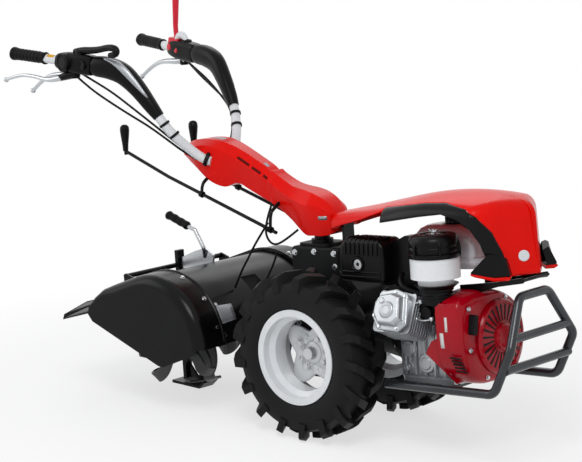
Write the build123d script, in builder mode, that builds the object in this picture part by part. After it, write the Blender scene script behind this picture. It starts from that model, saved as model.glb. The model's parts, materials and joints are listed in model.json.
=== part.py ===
from build123d import *
from math import cos, radians, sin
import os

# A walking tractor: two driven wheels, an open petrol engine in front, a handlebar column that tilts and
# swings, and a rotary tiller behind. Everything is drawn in the machine's own frame, level, with X
# forward, Y to the left and Z up from the wheel axle. The last section tilts it to its parked stance.

# Driving sizes in millimetres, angles in degrees
nose_up = 5.0
seat_gap = 0.2
pin_gap = 0.1

# Wheels
tyre_radius = 255.0
lug_height = 22.0
lug_count = 17
lug_thickness = 30.0
lug_sweep = 46.0
tyre_width = 130.0
track = 420.0
rim_flange_radius = 144.0
rim_seat_radius = 127.0
rim_well_radius = 112.0
rim_width = 122.0
rim_wall = 4.0
disc_inset = 28.0
disc_thickness = 6.0
disc_lobes = 4
bite_radius = 36.0
hub_radius = 31.0
hub_length = 34.0
axle_radius = 17.5
axle_depth = 40.0

# Gearbox and clutch
gearbox_half_width = 62.0
gearbox_top = 297.0
gearbox_rear = -172.0
gearbox_bottom = -108.0
axle_housing_radius = 42.0
axle_housing_reach = 122.0
crank_height = 58.0
clutch_radius = 105.0
clutch_rear = 84.0
clutch_front = 262.0

# Engine
crankcase_length = 200.0
crankcase_half_width = 90.0
crankcase_top = 150.0
engine_base = -79.0
base_flange_half_width = 96.0
base_flange_thickness = 13.0
cylinder_tilt = 25.0
cylinder_x = 322.0
cylinder_foot = 104.0
head_reach = 214.0
fin_pitch = 11.0
fin_count = 9
fin_thickness = 4.0
valve_cover_height = 30.0
fan_cover_length = 92.0
fan_wall = 5.0
fan_intake_radius = 88.0
recoil_radius = 106.0
recoil_depth = 26.0
slot_count = 20
cleaner_x = 446.0
cleaner_y = -142.0
cleaner_radius = 76.0
cleaner_foot = 226.0
cleaner_band = 80.0
cleaner_top = 372.0

# Bonnet and bumper
bonnet_half_width = 152.0
bonnet_skin = 5.0
bonnet_nose = 712.0
bonnet_top = 478.0
tube_radius = 13.5
bumper_half_width = 157.0
rail_height = -77.0
engine_plate = 8.0

# Handlebar
pivot_x = -95.0
pivot_height = 388.0
column_foot_radius = 76.0
column_cavity_radius = 58.0
column_floor = 330.0
post_radius = 24.0
post_spigot_radius = 10.0
post_spigot_length = 12.0
height_pin_radius = 9.0
height_pin_reach = 36.0
handle_tube_radius = 15.0
grip_radius = 18.0
gear_rod_radius = 5.5
cable_radius = 3.5

# Tiller
rotor_x = -541.0
rotor_z = 7.0
tine_radius = 155.0
tine_width = 42.0
tine_thickness = 9.0
flange_radius = 48.0
flange_places = (78.0, 168.0, 258.0)
tines_each = 4
hood_radius = 212.0
hood_skin = 4.0
hood_half_width = 230.0
side_cover_half_width = 340.0
case_half_width = 34.0
flap_pin_x = -739.0
flap_pin_z = 160.0
flap_pin_radius = 6.0
flap_knuckle_radius = 11.0
flap_half_width = 300.0
flap_skin = 4.0
skid_x = -716.0
skid_bar = 14.0
skid_width = 30.0

stance = Location((0, 0, tyre_radius), (0, -nose_up, 0))
pieces = {}


def keep(builder, name):
    """Labels a finished piece and files it for export."""
    builder.part.label = name
    pieces[name] = builder.part


def ground(x):
    """The floor's height below the axle at a place along the tilted machine."""
    return -(tyre_radius + x * sin(radians(nose_up))) / cos(radians(nose_up))


def bar_path(points, corners):
    """Straight runs joined by tangent arcs."""
    with BuildLine() as path:
        if len(points) > 2:
            FilletPolyline(*points, radius=corners)
        else:
            Line(*points)
    return path.line


def bar(points, radius, corners=30.0, mode=Mode.ADD):
    """Sweeps a round bar along a bent path, inside the open piece."""
    path = bar_path(points, corners)
    with BuildSketch(Plane(origin=path @ 0, z_dir=path % 0)) as section:
        Circle(radius)
    sweep(sections=section.sketch, path=path, mode=mode)


def ball(place, radius):
    """Adds a ball to the open piece."""
    with Locations(place):
        Sphere(radius)


def flipped(points):
    """The same points on the other side of the machine."""
    return [(x, -y, z) for x, y, z in points]


def across(y):
    """A side view's plane at a distance to the left, facing right, with X forward and Z up."""
    return Plane.XZ.offset(-y)


# Tyres: a round carcass with two rows of slanting lugs, their middle ends leading
carcass_radius = tyre_radius - lug_height
shoulder = tyre_width / 2
bead_radius = rim_seat_radius + seat_gap
bead_rise = rim_flange_radius + 2
bead_half = rim_width / 2 - rim_wall - seat_gap
with BuildPart() as carcass:
    with BuildSketch(Plane.XY):
        with BuildLine():
            Polyline((bead_rise, -bead_half), (bead_radius, -bead_half), (bead_radius, bead_half),
                     (bead_rise, bead_half), (150, bead_half + 3))
            ThreePointArc((150, bead_half + 3), (188, shoulder), (carcass_radius - 12, shoulder - 8))
            ThreePointArc((carcass_radius - 12, shoulder - 8), (carcass_radius, 0),
                          (carcass_radius - 12, 8 - shoulder))
            ThreePointArc((carcass_radius - 12, 8 - shoulder), (188, -shoulder), (150, -bead_half - 3))
            Line((150, -bead_half - 3), (bead_rise, -bead_half))
        make_face()
    revolve(axis=Axis.Y)

with BuildPart() as lugs:
    for number in range(lug_count):
        for row in (-1, 1):
            turn = radians((number + row / 4) * 360 / lug_count)
            outward = Vector(sin(turn), 0, cos(turn))
            with BuildSketch(Plane(origin=outward * (tyre_radius + 8), x_dir=(cos(turn), 0, -sin(turn)),
                                   z_dir=outward)):
                with BuildLine():
                    Polyline((lug_sweep / 2, row * -3), (lug_sweep / 2 - lug_thickness, row * -3),
                             (-lug_sweep / 2 - lug_thickness * 0.8, row * (shoulder + 3)),
                             (-lug_sweep / 2, row * (shoulder + 3)), close=True)
                make_face()
            extrude(amount=-66)
    with BuildSketch(Plane.XY) as tread:
        with BuildLine():
            Polyline((190, -shoulder - 2), (tyre_radius - 12, -shoulder - 2), (tyre_radius, 20 - shoulder),
                     (tyre_radius, shoulder - 20), (tyre_radius - 12, shoulder + 2), (190, shoulder + 2),
                     close=True)
        make_face()
    revolve(axis=Axis.Y, mode=Mode.INTERSECT)

# Rims: a rolled drop-centre band with flanges
flange_half = rim_width / 2
half_band = [(rim_flange_radius, flange_half), (rim_flange_radius, flange_half - rim_wall),
             (rim_seat_radius, flange_half - rim_wall), (rim_seat_radius, 34), (rim_well_radius, 22)]
inner_band = [(rim_well_radius - rim_wall, 24), (rim_seat_radius - rim_wall, 36),
              (rim_seat_radius - rim_wall, flange_half)]
disc_reach = rim_well_radius - rim_wall - seat_gap

for name, side in (("right", -1), ("left", 1)):
    middle = side * track / 2
    with BuildPart() as tyre:
        with Locations((0, middle, 0)):
            add(carcass.part)
            add(lugs.part)
    keep(tyre, f"tyre_{name}")

    with BuildPart() as rim:
        with BuildSketch(Plane((0, middle, 0))):
            with BuildLine():
                Polyline(*half_band, *[(r, -y) for r, y in reversed(half_band)],
                         *[(r, -y) for r, y in reversed(inner_band)], *inner_band, close=True)
            make_face()
        revolve(axis=Axis.Y)
    keep(rim, f"rim_{name}")

    # A dished plate whose lobes reach the rim's well, with its hub
    disc_place = middle - side * disc_inset
    with BuildPart() as disc:
        with BuildSketch(across(disc_place)):
            Circle(disc_reach)
            with PolarLocations(disc_reach + 4, disc_lobes, start_angle=15):
                Circle(bite_radius, mode=Mode.SUBTRACT)
            with PolarLocations(50, 4, start_angle=60):
                Circle(7, mode=Mode.SUBTRACT)
        extrude(amount=-side * disc_thickness)
        with BuildSketch(across(disc_place)):
            Circle(hub_radius)
        extrude(amount=hub_length / 2, both=True)
        with BuildSketch(across(disc_place)):
            Circle(axle_radius + pin_gap)
        extrude(amount=hub_length, both=True, mode=Mode.SUBTRACT)
    keep(disc, f"wheel_disc_{name}")

    with BuildPart() as axle:
        with BuildSketch(across(side * (axle_housing_reach - axle_depth))):
            Circle(axle_radius)
        extrude(amount=-side * (abs(disc_place) + hub_length / 2 + 12 - axle_housing_reach + axle_depth))
    keep(axle, f"axle_{name}")

# Gearbox: the casting that carries the axles, clutch, column and tiller
with BuildPart() as gearbox:
    with BuildSketch(Plane.XZ) as gearbox_side:
        with BuildLine():
            Polyline((-118, gearbox_bottom), (52, gearbox_bottom), (clutch_rear, -60), (clutch_rear, 170),
                     (18, 232), (18, gearbox_top), (gearbox_rear, gearbox_top), (gearbox_rear, 40),
                     (-150, -40), close=True)
        make_face()
        fillet(gearbox_side.vertices(), 12)
    extrude(amount=gearbox_half_width, both=True)
    fillet(gearbox.faces().filter_by(Axis.Y).edges(), 8)
    for side in (-1, 1):
        with BuildSketch(across(0)):
            Circle(axle_housing_radius)
        extrude(amount=-side * axle_housing_reach)
        with BuildSketch(across(side * (axle_housing_reach - axle_depth - 4))):
            Circle(axle_radius + pin_gap)
        extrude(amount=-side * (axle_depth + 4), mode=Mode.SUBTRACT)
keep(gearbox, "gearbox")

# Clutch housing: a bell between gearbox and engine
crank_line = Axis((0, 0, crank_height), (1, 0, 0))
with BuildPart() as clutch_housing:
    with BuildSketch(Plane.XY.offset(crank_height)):
        with BuildLine():
            Polyline((clutch_rear, 0), (clutch_rear, 62), (150, 78), (228, clutch_radius - 12),
                     (246, clutch_radius - 12), (246, clutch_radius), (clutch_front, clutch_radius),
                     (clutch_front, 0), close=True)
        make_face()
    revolve(axis=crank_line)
keep(clutch_housing, "clutch_housing")

# Engine crankcase on its base flange
crankcase_front = clutch_front + crankcase_length
with BuildPart() as crankcase:
    with BuildSketch(Plane.YZ.offset(clutch_front)):
        with Locations((0, (engine_base + crankcase_top) / 2)):
            RectangleRounded(2 * crankcase_half_width, crankcase_top - engine_base, 22)
    extrude(amount=crankcase_length)
    with BuildSketch(Plane.XY.offset(engine_base)):
        with Locations((clutch_front + crankcase_length / 2, 0)):
            RectangleRounded(crankcase_length - 8, 2 * base_flange_half_width, 12)
    extrude(amount=base_flange_thickness)
    cylinder_plane = Plane(origin=(cylinder_x, 0, crank_height), x_dir=(1, 0, 0),
                           z_dir=(0, -cos(radians(cylinder_tilt)), sin(radians(cylinder_tilt))))
    with BuildSketch(cylinder_plane.offset(cylinder_foot)):
        Rectangle(190, 190)
    extrude(amount=120, mode=Mode.SUBTRACT)
keep(crankcase, "engine_crankcase")

# Cylinder with its cooling fins, leaning to the right of the machine
with BuildPart() as cylinder:
    with BuildSketch(cylinder_plane.offset(cylinder_foot)):
        RectangleRounded(100, 92, 18)
    extrude(amount=head_reach - cylinder_foot)
    for number in range(fin_count):
        with BuildSketch(cylinder_plane.offset(cylinder_foot + 8 + number * fin_pitch)):
            RectangleRounded(134, 122, 14)
        extrude(amount=fin_thickness)
keep(cylinder, "engine_cylinder")

with BuildPart() as valve_cover:
    with BuildSketch(cylinder_plane.offset(head_reach)) as cover_foot:
        with BuildLine():
            Polyline((-66, -30), (-34, -62), (44, -62), (68, -34), (50, 56), (10, 66), (-46, 58), (-66, 20),
                     close=True)
        make_face()
        fillet(cover_foot.vertices(), 12)
    extrude(amount=valve_cover_height, taper=14)
keep(valve_cover, "valve_cover")

# Fan cover: the volute round the flywheel fan, with a duct towards the cylinder
with BuildPart() as fan_cover:
    with BuildSketch(Plane.YZ.offset(crankcase_front)) as volute:
        with BuildLine():
            Polyline((-80, -72), (-168, 6), (-176, 186), (-40, 196), (64, 170), (132, 100), (134, 6), (70, -72),
                     close=True)
        make_face()
        fillet(volute.vertices(), 26)
    extrude(amount=fan_cover_length)
    fillet(fan_cover.edges().group_by(Axis.X)[-1], 16)
    with BuildSketch(Plane.YZ.offset(crankcase_front + fan_wall)):
        add(volute.sketch_local)
        offset(amount=-2 * fan_wall, mode=Mode.REPLACE)
    extrude(amount=fan_cover_length - 2 * fan_wall, mode=Mode.SUBTRACT)
    with BuildSketch(Plane.YZ.offset(crankcase_front + fan_cover_length)):
        with Locations((0, crank_height)):
            Circle(fan_intake_radius)
    extrude(amount=-2 * fan_wall, mode=Mode.SUBTRACT)
keep(fan_cover, "fan_cover")

fan_cover_front = crankcase_front + fan_cover_length
with BuildPart() as recoil:
    with BuildSketch(Plane.YZ.offset(fan_cover_front)):
        with Locations((0, crank_height)):
            Circle(recoil_radius)
    extrude(amount=recoil_depth, taper=12)
    with BuildSketch(Plane.YZ.offset(fan_cover_front + recoil_depth)):
        with Locations((0, crank_height)):
            with PolarLocations(70, slot_count):
                SlotOverall(40, 8)
    extrude(amount=-12, mode=Mode.SUBTRACT)
keep(recoil, "recoil_starter")

with BuildPart() as recoil_grip:
    with BuildSketch(Plane.YZ.offset(fan_cover_front)):
        with Locations((-134, crank_height + 56)):
            SlotOverall(58, 18, rotation=80)
    extrude(amount=20)
keep(recoil_grip, "recoil_grip")

# Silencer with a slotted guard, beside the tank
silencer_length = 166.0
silencer_depth = 100.0
silencer_height = 120.0
silencer_middle = (167, -86, 277)
with BuildPart() as silencer:
    with Locations(silencer_middle):
        Box(silencer_length, silencer_depth, silencer_height)
    fillet(silencer.edges(), 9)
    with BuildSketch(across(silencer_middle[1] - silencer_depth / 2)):
        with Locations((silencer_middle[0], silencer_middle[2] + 34)):
            with GridLocations(24, 1, 6, 1):
                SlotOverall(26, 7, rotation=90)
    extrude(amount=-5, mode=Mode.SUBTRACT)
    with BuildSketch(across(silencer_middle[1] - silencer_depth / 2)):
        with Locations((silencer_middle[0] - 10, silencer_middle[2] - 14)):
            Circle(19)
            Circle(15, mode=Mode.SUBTRACT)
    extrude(amount=16)
    bar([(215, -110, 224), (215, -110, 150), (cylinder_x - 67.3, -110, 150)], 13, 20)
keep(silencer, "silencer")

# Carburettor, then the air cleaner above it
with BuildPart() as carburettor:
    with BuildSketch(Plane.XY.offset(cleaner_foot)):
        with Locations((cleaner_x, cleaner_y)):
            RectangleRounded(84, 60, 14)
    extrude(amount=-28)
    with BuildSketch(Plane.XZ.offset(-cleaner_y - 30)):
        with Locations((cleaner_x - 20, cleaner_foot - 14)):
            Circle(13)
    extrude(amount=-54)
    bar([(cleaner_x - 12, cleaner_y, 204), (cleaner_x - 12, cleaner_y, 150), (cylinder_x + 67.3, cleaner_y, 150)],
        13, 20)
keep(carburettor, "carburettor")

with BuildPart() as air_base:
    with BuildSketch(Plane.XY.offset(cleaner_foot)):
        with Locations((cleaner_x, cleaner_y)):
            Circle(52)
    extrude(amount=20)
    with BuildSketch(Plane.XY.offset(cleaner_foot + 20)):
        with Locations((cleaner_x, cleaner_y)):
            Circle(cleaner_radius - 4)
    extrude(amount=cleaner_band - 20)
keep(air_base, "air_cleaner_base")

with BuildPart() as air_lid:
    with BuildSketch(Plane.XY.offset(cleaner_foot + cleaner_band)):
        with Locations((cleaner_x, cleaner_y)):
            Circle(cleaner_radius)
    extrude(amount=cleaner_top - cleaner_foot - cleaner_band)
    fillet(air_lid.edges().group_by(Axis.Z)[-1], 22)
keep(air_lid, "air_cleaner_lid")

# Fuel tank over the crankcase: a hollow shell with its filler neck and feet, and the cap on the neck
tank_right = -56.0
tank_left = 128.0
tank_wall = 4.0
tank_filler = (392, 40)
filler_radius = 24.0
with BuildPart() as fuel_tank:
    with BuildSketch(across(tank_left)) as tank_side:
        with BuildLine():
            Polyline((262, 256), (520, 250), (528, 300), (505, 362), (440, 376), (330, 372), (262, 352),
                     close=True)
        make_face()
        fillet(tank_side.vertices(), 14)
    extrude(amount=tank_left - tank_right)
    fillet(fuel_tank.faces().filter_by(Axis.Y).edges(), 12)
    with BuildSketch(Plane.XY.offset(360)):
        with Locations(tank_filler):
            Circle(filler_radius)
    extrude(amount=20)
    with BuildSketch(Plane.XY.offset(crankcase_top)):
        with Locations((300, 30), (440, 30)):
            Rectangle(30, 90)
    extrude(amount=108)
    with BuildSketch(across(tank_left - 2 * tank_wall)):
        add(tank_side.sketch_local)
        offset(amount=-2 * tank_wall, mode=Mode.REPLACE)
    extrude(amount=tank_left - tank_right - 4 * tank_wall, mode=Mode.SUBTRACT)
    with BuildSketch(Plane.XY.offset(380)):
        with Locations(tank_filler):
            Circle(filler_radius - tank_wall)
    extrude(amount=-40, mode=Mode.SUBTRACT)
    with BuildSketch(Plane.XY.offset(380 + seat_gap)):
        with Locations(tank_filler):
            Circle(filler_radius + 7)
    extrude(amount=18)
keep(fuel_tank, "fuel_tank")

# Bumper: one bent tube with cross tubes, its rails under the engine
side_run = [(252, -bumper_half_width, rail_height), (640, -bumper_half_width, rail_height),
            (704, -bumper_half_width, 50), (682, -70, 191)]
with BuildPart() as bumper:
    bar(side_run + list(reversed(flipped(side_run))), tube_radius, 36)
    bar([(684, -bumper_half_width, -6), (684, bumper_half_width, -6)], tube_radius - 1)
    bar([(700, -135, 82), (700, 135, 82)], tube_radius - 1)
    with BuildSketch(Plane.XY.offset(engine_base)):
        with Locations((clutch_front + crankcase_length / 2, 0)):
            Rectangle(crankcase_length, 2 * bumper_half_width)
    extrude(amount=-engine_plate)
keep(bumper, "bumper")

# Bonnet: a thin cover over tank and engine, open at its sides
bonnet_top_line = [(0, 404), (129, 425), (332, 464), (450, bonnet_top), (590, bonnet_top - 10)]
bonnet_nose_line = [(660, bonnet_top - 48), (700, 350), (bonnet_nose, 266)]
bonnet_floor = 256.0
bonnet_tail_plan = [(0, 70), (90, 96), (220, 140), (320, bonnet_half_width)]
nose_round = 122.0


def bonnet_block(inset):
    """The solid that the bonnet's outside fills, drawn in by an inset."""
    nose = bonnet_nose - inset
    half_width = bonnet_half_width - inset
    with BuildPart() as block:
        with BuildSketch(Plane.XZ):
            with BuildLine():
                crown = Spline(*[(x, z - inset) for x, z in bonnet_top_line],
                               *[(x - inset, z) for x, z in bonnet_nose_line])
                Polyline(crown @ 1, (nose, bonnet_floor - inset), (inset, bonnet_floor - inset), crown @ 0)
            make_face()
        extrude(amount=bonnet_half_width + 10, both=True)
        with BuildSketch(Plane.XY.offset(bonnet_floor - 20)):
            with BuildLine():
                tail_edge = Spline(*[(x + inset, y - inset) for x, y in bonnet_tail_plan], tangents=[(3, 1), (1, 0)])
                Line(tail_edge @ 1, (bonnet_nose - nose_round, half_width))
                EllipticalCenterArc((bonnet_nose - nose_round, 0), nose_round - inset, half_width,
                                    start_angle=0, arc_size=90)
                Polyline((nose, 0), (inset, 0), tail_edge @ 0)
            make_face()
            mirror(about=Plane.XZ)
        extrude(amount=400, mode=Mode.INTERSECT)
    return block.part


# The red shell above the side bands with its hinge lugs, and the black bands below it
hinge_x = 690.0
hinge_z = 236.0
hinge_pin_radius = 5.0
lug_place = 40.0
band_top = [(252, 438), (410, 462), (515, 462), (596, 450), (646, 413), (690, 303), (700, 200)]
band_bottom = [(640, 200), (640, 306), (626, 367), (606, 404), (556, 427), (486, 438), (401, 426), (252, 398)]
with BuildPart() as shell:
    add(bonnet_block(0))
    add(bonnet_block(bonnet_skin), mode=Mode.SUBTRACT)

with BuildPart() as bonnet:
    add(shell.part)
    with BuildSketch(Plane.XZ):
        with BuildLine():
            Polyline(*band_top, (240, 200), (-20, 200), (-20, 332), (6, 358), (60, 374), (151, 396),
                     (252, 428), close=True)
        make_face()
    extrude(amount=200, both=True, mode=Mode.SUBTRACT)
    for side in (-1, 1):
        with BuildSketch(across(side * lug_place)):
            with Locations((hinge_x, hinge_z)):
                Circle(10)
            with BuildLine():
                Polyline((hinge_x - 10, hinge_z), (hinge_x - 8, 310), (bonnet_nose - 14, 310),
                         (bonnet_nose - 8, 262), (hinge_x + 10, hinge_z), close=True)
            make_face()
            with Locations((hinge_x, hinge_z)):
                Circle(hinge_pin_radius + pin_gap, mode=Mode.SUBTRACT)
        extrude(amount=5, both=True)
keep(bonnet, "bonnet")

with BuildPart() as trims:
    add(shell.part)
    with BuildSketch(Plane.XZ):
        with BuildLine():
            Polyline(*band_top, *band_bottom, close=True)
        make_face()
        offset(amount=-seat_gap / 2)
    extrude(amount=200, both=True, mode=Mode.INTERSECT)
keep(trims, "bonnet_trims")

# Bonnet stay: a bracket from the fan cover with the pin that the bonnet's nose opens on
stay_half_width = 60.0
stay_foot = 196.0
with BuildPart() as bonnet_stay:
    for y in (-stay_half_width, stay_half_width):
        with BuildSketch(across(y)) as stay_side:
            with BuildLine():
                Polyline((crankcase_front + 8, stay_foot), (crankcase_front + 8, 224), (590, 232),
                         (hinge_x, hinge_z + 9), (hinge_x + 9, hinge_z), (hinge_x, hinge_z - 9), (600, 212),
                         (560, stay_foot), close=True)
            make_face()
        extrude(amount=3, both=True)
    with BuildSketch(across(0)):
        with Locations((hinge_x, hinge_z)):
            Circle(hinge_pin_radius)
    extrude(amount=stay_half_width, both=True)
    with BuildSketch(Plane.XY.offset(stay_foot)):
        with Locations((crankcase_front + 46, 0)):
            Rectangle(70, 2 * stay_half_width)
    extrude(amount=4)
    with BuildSketch(Plane.XZ):
        with BuildLine():
            Polyline((6, gearbox_top), (6, 399.4), (14, 400.6), (14, gearbox_top), close=True)
        make_face()
    extrude(amount=24, both=True)
keep(bonnet_stay, "bonnet_stay")

# Corner grilles: dark wedges that swell from the bonnet's lower front corners
with BuildPart() as grilles:
    for side in (-1, 1):
        with BuildSketch(Plane.XY.offset(246)):
            with BuildLine():
                Polyline((594, side * 156), (604, side * 172), (668, side * 128), (706, side * 84),
                         (696, side * 78), (664, side * 124), (640, side * 144), close=True)
            make_face()
        extrude(amount=54)
    add(bonnet_block(-seat_gap), mode=Mode.SUBTRACT)
keep(grilles, "bonnet_grilles")

# Column base: the casting that carries the handlebar post
column_boss = gearbox_top + 18
with BuildPart() as column_base:
    with BuildSketch(Plane.XY.offset(gearbox_top)):
        with Locations((pivot_x, 0)):
            RectangleRounded(120, 96, 16)
    extrude(amount=8)
    with BuildSketch(Plane.XY.offset(gearbox_top + 8)):
        with Locations((pivot_x, 0)):
            Circle(34)
    extrude(amount=10)
    with BuildSketch(Plane.XY.offset(column_boss)):
        with Locations((pivot_x, 0)):
            Circle(post_spigot_radius + pin_gap)
    extrude(amount=-post_spigot_length - 2, mode=Mode.SUBTRACT)
keep(column_base, "column_base")

# Handlebar post: turns on the column base and carries the height pin
post_foot = column_boss + 0.3
with BuildPart() as post:
    with BuildSketch(Plane.XY.offset(post_foot)):
        with Locations((pivot_x, 0)):
            Circle(post_spigot_radius)
    extrude(amount=-post_spigot_length)
    with BuildSketch(Plane.XY.offset(post_foot)):
        with Locations((pivot_x, 0)):
            Circle(post_radius)
    extrude(amount=34)
    with BuildSketch(across(0)):
        with Locations((pivot_x, (post_foot + pivot_height) / 2)):
            Rectangle(36, pivot_height - post_foot)
        with Locations((pivot_x, pivot_height)):
            Circle(18)
    extrude(amount=16, both=True)
    with BuildSketch(across(0)):
        with Locations((pivot_x, pivot_height)):
            Circle(height_pin_radius)
    extrude(amount=height_pin_reach, both=True)
keep(post, "handlebar_post")

# Handlebar tubes, from the column's fork to the grips
handle_run = [(-470, -60, 545), (-506, -88, 577), (-556, -146, 640), (-584, -170, 695), (-692, -212, 854),
              (-770, -230, 868), (-1108, -290, 920)]
handle_corners = [26, 40, 60, 60, 40]
with BuildPart() as handles:
    bar(handle_run, handle_tube_radius, handle_corners)
    bar(flipped(handle_run), handle_tube_radius, handle_corners)
keep(handles, "handle_tubes")

# Handlebar column: a moulded cover on a steel spine, rounded at its foot about the post, with the plates
# that guide the gear rods
gear_run = [(-206, -85, 339), (-656, -85, 503), (-847, -85, 584), (-841, -85, 610)]
drive_run = [(-206, 85, 339), (-631, 85, 494), (-700, 85, 580), (-696, 85, 606)]
guide_places = [(-230, 347.8, 72), (-512, 450.5, 46)]
column_top = [(-111, 464), (-184, 480), (-280, 529), (-392, 588), (-488, 618), (-585, 615), (-623, 597)]
column_under = [(-604, 562), (-512, 493), (-452, 468), (-398, 484), (-348, 459), (-231, 407), (-160, 362)]
with BuildPart() as column:
    with BuildSketch(Plane.XZ) as side_view:
        with BuildLine():
            Polyline((pivot_x, pivot_height + column_foot_radius), *column_top, *column_under,
                     (pivot_x, pivot_height - 40), close=True)
        make_face()
        with Locations((pivot_x, pivot_height)):
            Circle(column_foot_radius)
        with Locations((pivot_x, column_floor - 50)):
            Rectangle(240, 100, mode=Mode.SUBTRACT)
    extrude(amount=100, both=True)
    with BuildSketch(Plane.XY.offset(200)) as plan_view:
        with BuildLine():
            Polyline((pivot_x, 64), (-150, 58), (-250, 46), (-400, 50), (-500, 78), (-590, 72), (-623, 40),
                     (-623, 0), (pivot_x, 0), close=True)
        make_face()
        mirror(about=Plane.XZ)
        with Locations((pivot_x, 0)):
            Circle(column_foot_radius)
    extrude(amount=500, mode=Mode.INTERSECT)
    with BuildSketch(Plane.XY.offset(column_floor - 30)):
        with Locations((pivot_x, 0)):
            Circle(column_cavity_radius)
    extrude(amount=pivot_height + 40 - column_floor + 30, mode=Mode.SUBTRACT)
    with BuildSketch(Plane.XZ):
        with Locations((pivot_x, pivot_height)):
            Circle(20)
        with BuildLine():
            Polyline((pivot_x, pivot_height + 20), (-162, 420), (-162, 374), (pivot_x, pivot_height - 20),
                     close=True)
        make_face()
    extrude(amount=32, both=True)
    with BuildSketch(Plane.XZ):
        with Locations((pivot_x, pivot_height)):
            Circle(41)
    extrude(amount=20, both=True, mode=Mode.SUBTRACT)
    with BuildSketch(Plane.XZ):
        with Locations((pivot_x, pivot_height)):
            Circle(height_pin_radius + pin_gap)
    extrude(amount=height_pin_reach, both=True, mode=Mode.SUBTRACT)
    for x, z, height in guide_places:
        for side in (-1, 1):
            with BuildSketch(Plane.YZ.offset(x)):
                with Locations((side * 69, z - 12 + (height + 12) / 2)):
                    Rectangle(58, height + 12)
            extrude(amount=4, both=True)
    for run in (gear_run, drive_run):
        bar(run, gear_rod_radius + seat_gap, [80, 14], Mode.SUBTRACT)
    bar(handle_run, handle_tube_radius + seat_gap, handle_corners, Mode.SUBTRACT)
    bar(flipped(handle_run), handle_tube_radius + seat_gap, handle_corners, Mode.SUBTRACT)
keep(column, "handlebar_column")

# Handle covers: padded mouldings over the bends of the tubes, with their light inlays
cover_run = [(-596, -175, 713), (-692, -212, 854), (-770, -230, 868), (-790, -233.5, 871)]
with BuildPart() as handle_covers:
    for run in (cover_run, flipped(cover_run)):
        bar(run, 25, [60, 40])
    for run in (handle_run, flipped(handle_run)):
        bar(run, handle_tube_radius + seat_gap, handle_corners, Mode.SUBTRACT)
keep(handle_covers, "handle_covers")

# Grips and control housings along the straight ends of the tubes
handle_end = Vector(*handle_run[-1])
handle_way = (handle_end - Vector(*handle_run[-2])).normalized()


def handle_plane(back, side):
    """A plane across a handle's straight end, a distance back from its tip, facing the tip."""
    place = handle_end - handle_way * back
    return Plane(origin=(place.X, -side * place.Y, place.Z), x_dir=(-handle_way.Y * side, -handle_way.X, 0),
                 z_dir=(handle_way.X, -side * handle_way.Y, handle_way.Z))


grip_length = 122.0
housing_start = 196.0
housing_length = 120.0
housing_width = 44.0
housing_height = 58.0
with BuildPart() as grips:
    for side in (-1, 1):
        with BuildSketch(handle_plane(grip_length, side)):
            Circle(grip_radius)
        extrude(amount=grip_length + 4)
        with BuildSketch(handle_plane(grip_length, side)):
            Circle(handle_tube_radius + pin_gap)
        extrude(amount=grip_length + seat_gap, mode=Mode.SUBTRACT)
keep(grips, "grips")

with BuildPart() as housings:
    for side in (-1, 1):
        with BuildSketch(handle_plane(housing_start + housing_length, side)):
            RectangleRounded(housing_width, housing_height, 12)
            Circle(handle_tube_radius + pin_gap, mode=Mode.SUBTRACT)
        extrude(amount=housing_length)
keep(housings, "control_housings")

# Hand levers, throttle and safety lever
lever_radius = 5.0
lever_ball = 10.0
clutch_run = [(-880, -262, 846), (-953, -278, 830), (-1000, -284, 840), (-1073, -286, 852), (-1172, -286, 833)]
brake_run = [(-880, -246, 846), (-930, -247, 848), (-988, -250, 846), (-1028, -250, 828), (-1085, -250, 793)]
with BuildPart() as levers:
    for run in (clutch_run, brake_run, flipped(brake_run)):
        bar(run, lever_radius, [30, 40, 60])
        ball(run[-1], lever_ball)
    for side in (-1, 1):
        with BuildSketch(handle_plane(housing_start + 76, side)):
            with Locations((0, housing_height / 2 + 8)):
                Rectangle(30, 16 - seat_gap)
        extrude(amount=44)
keep(levers, "hand_levers")

with BuildPart() as throttle:
    with BuildSketch(handle_plane(housing_start + 60, -1)):
        with Locations((0, -housing_height / 2 - 5)):
            Rectangle(20, 10 - seat_gap)
    extrude(amount=40)
    bar([(-868, -248, 924), (-820, -246, 924), (-735, -240, 916)], 7, 20)
keep(throttle, "throttle_lever")

with BuildPart() as safety:
    with BuildSketch(handle_plane(housing_start + 40, 1)):
        with Locations((0, -housing_height / 2 - 8)):
            Rectangle(26, 16 - seat_gap)
    extrude(amount=40)
    bar([(-906, 256, 926), (-914, 258, 950), (-902, 262, 1080)], 7, 60)
    bar([(-902, 236, 1086), (-902, 288, 1086)], 9)
keep(safety, "safety_lever")

# Gear rods beside the column, held by guides, with their knobs
with BuildPart() as gear_rods:
    bar(gear_run, gear_rod_radius, [80, 14])
    bar(drive_run, gear_rod_radius, [80, 14])
keep(gear_rods, "gear_rods")

with BuildPart() as knobs:
    for run in (gear_run, drive_run):
        way = (Vector(*run[-1]) - Vector(*run[-2])).normalized()
        with BuildSketch(Plane(origin=Vector(*run[-1]) + way * seat_gap, z_dir=way)):
            Circle(11)
        extrude(amount=58)
    fillet(knobs.edges().filter_by(GeomType.CIRCLE), 4)
keep(knobs, "rod_knobs")

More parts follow.
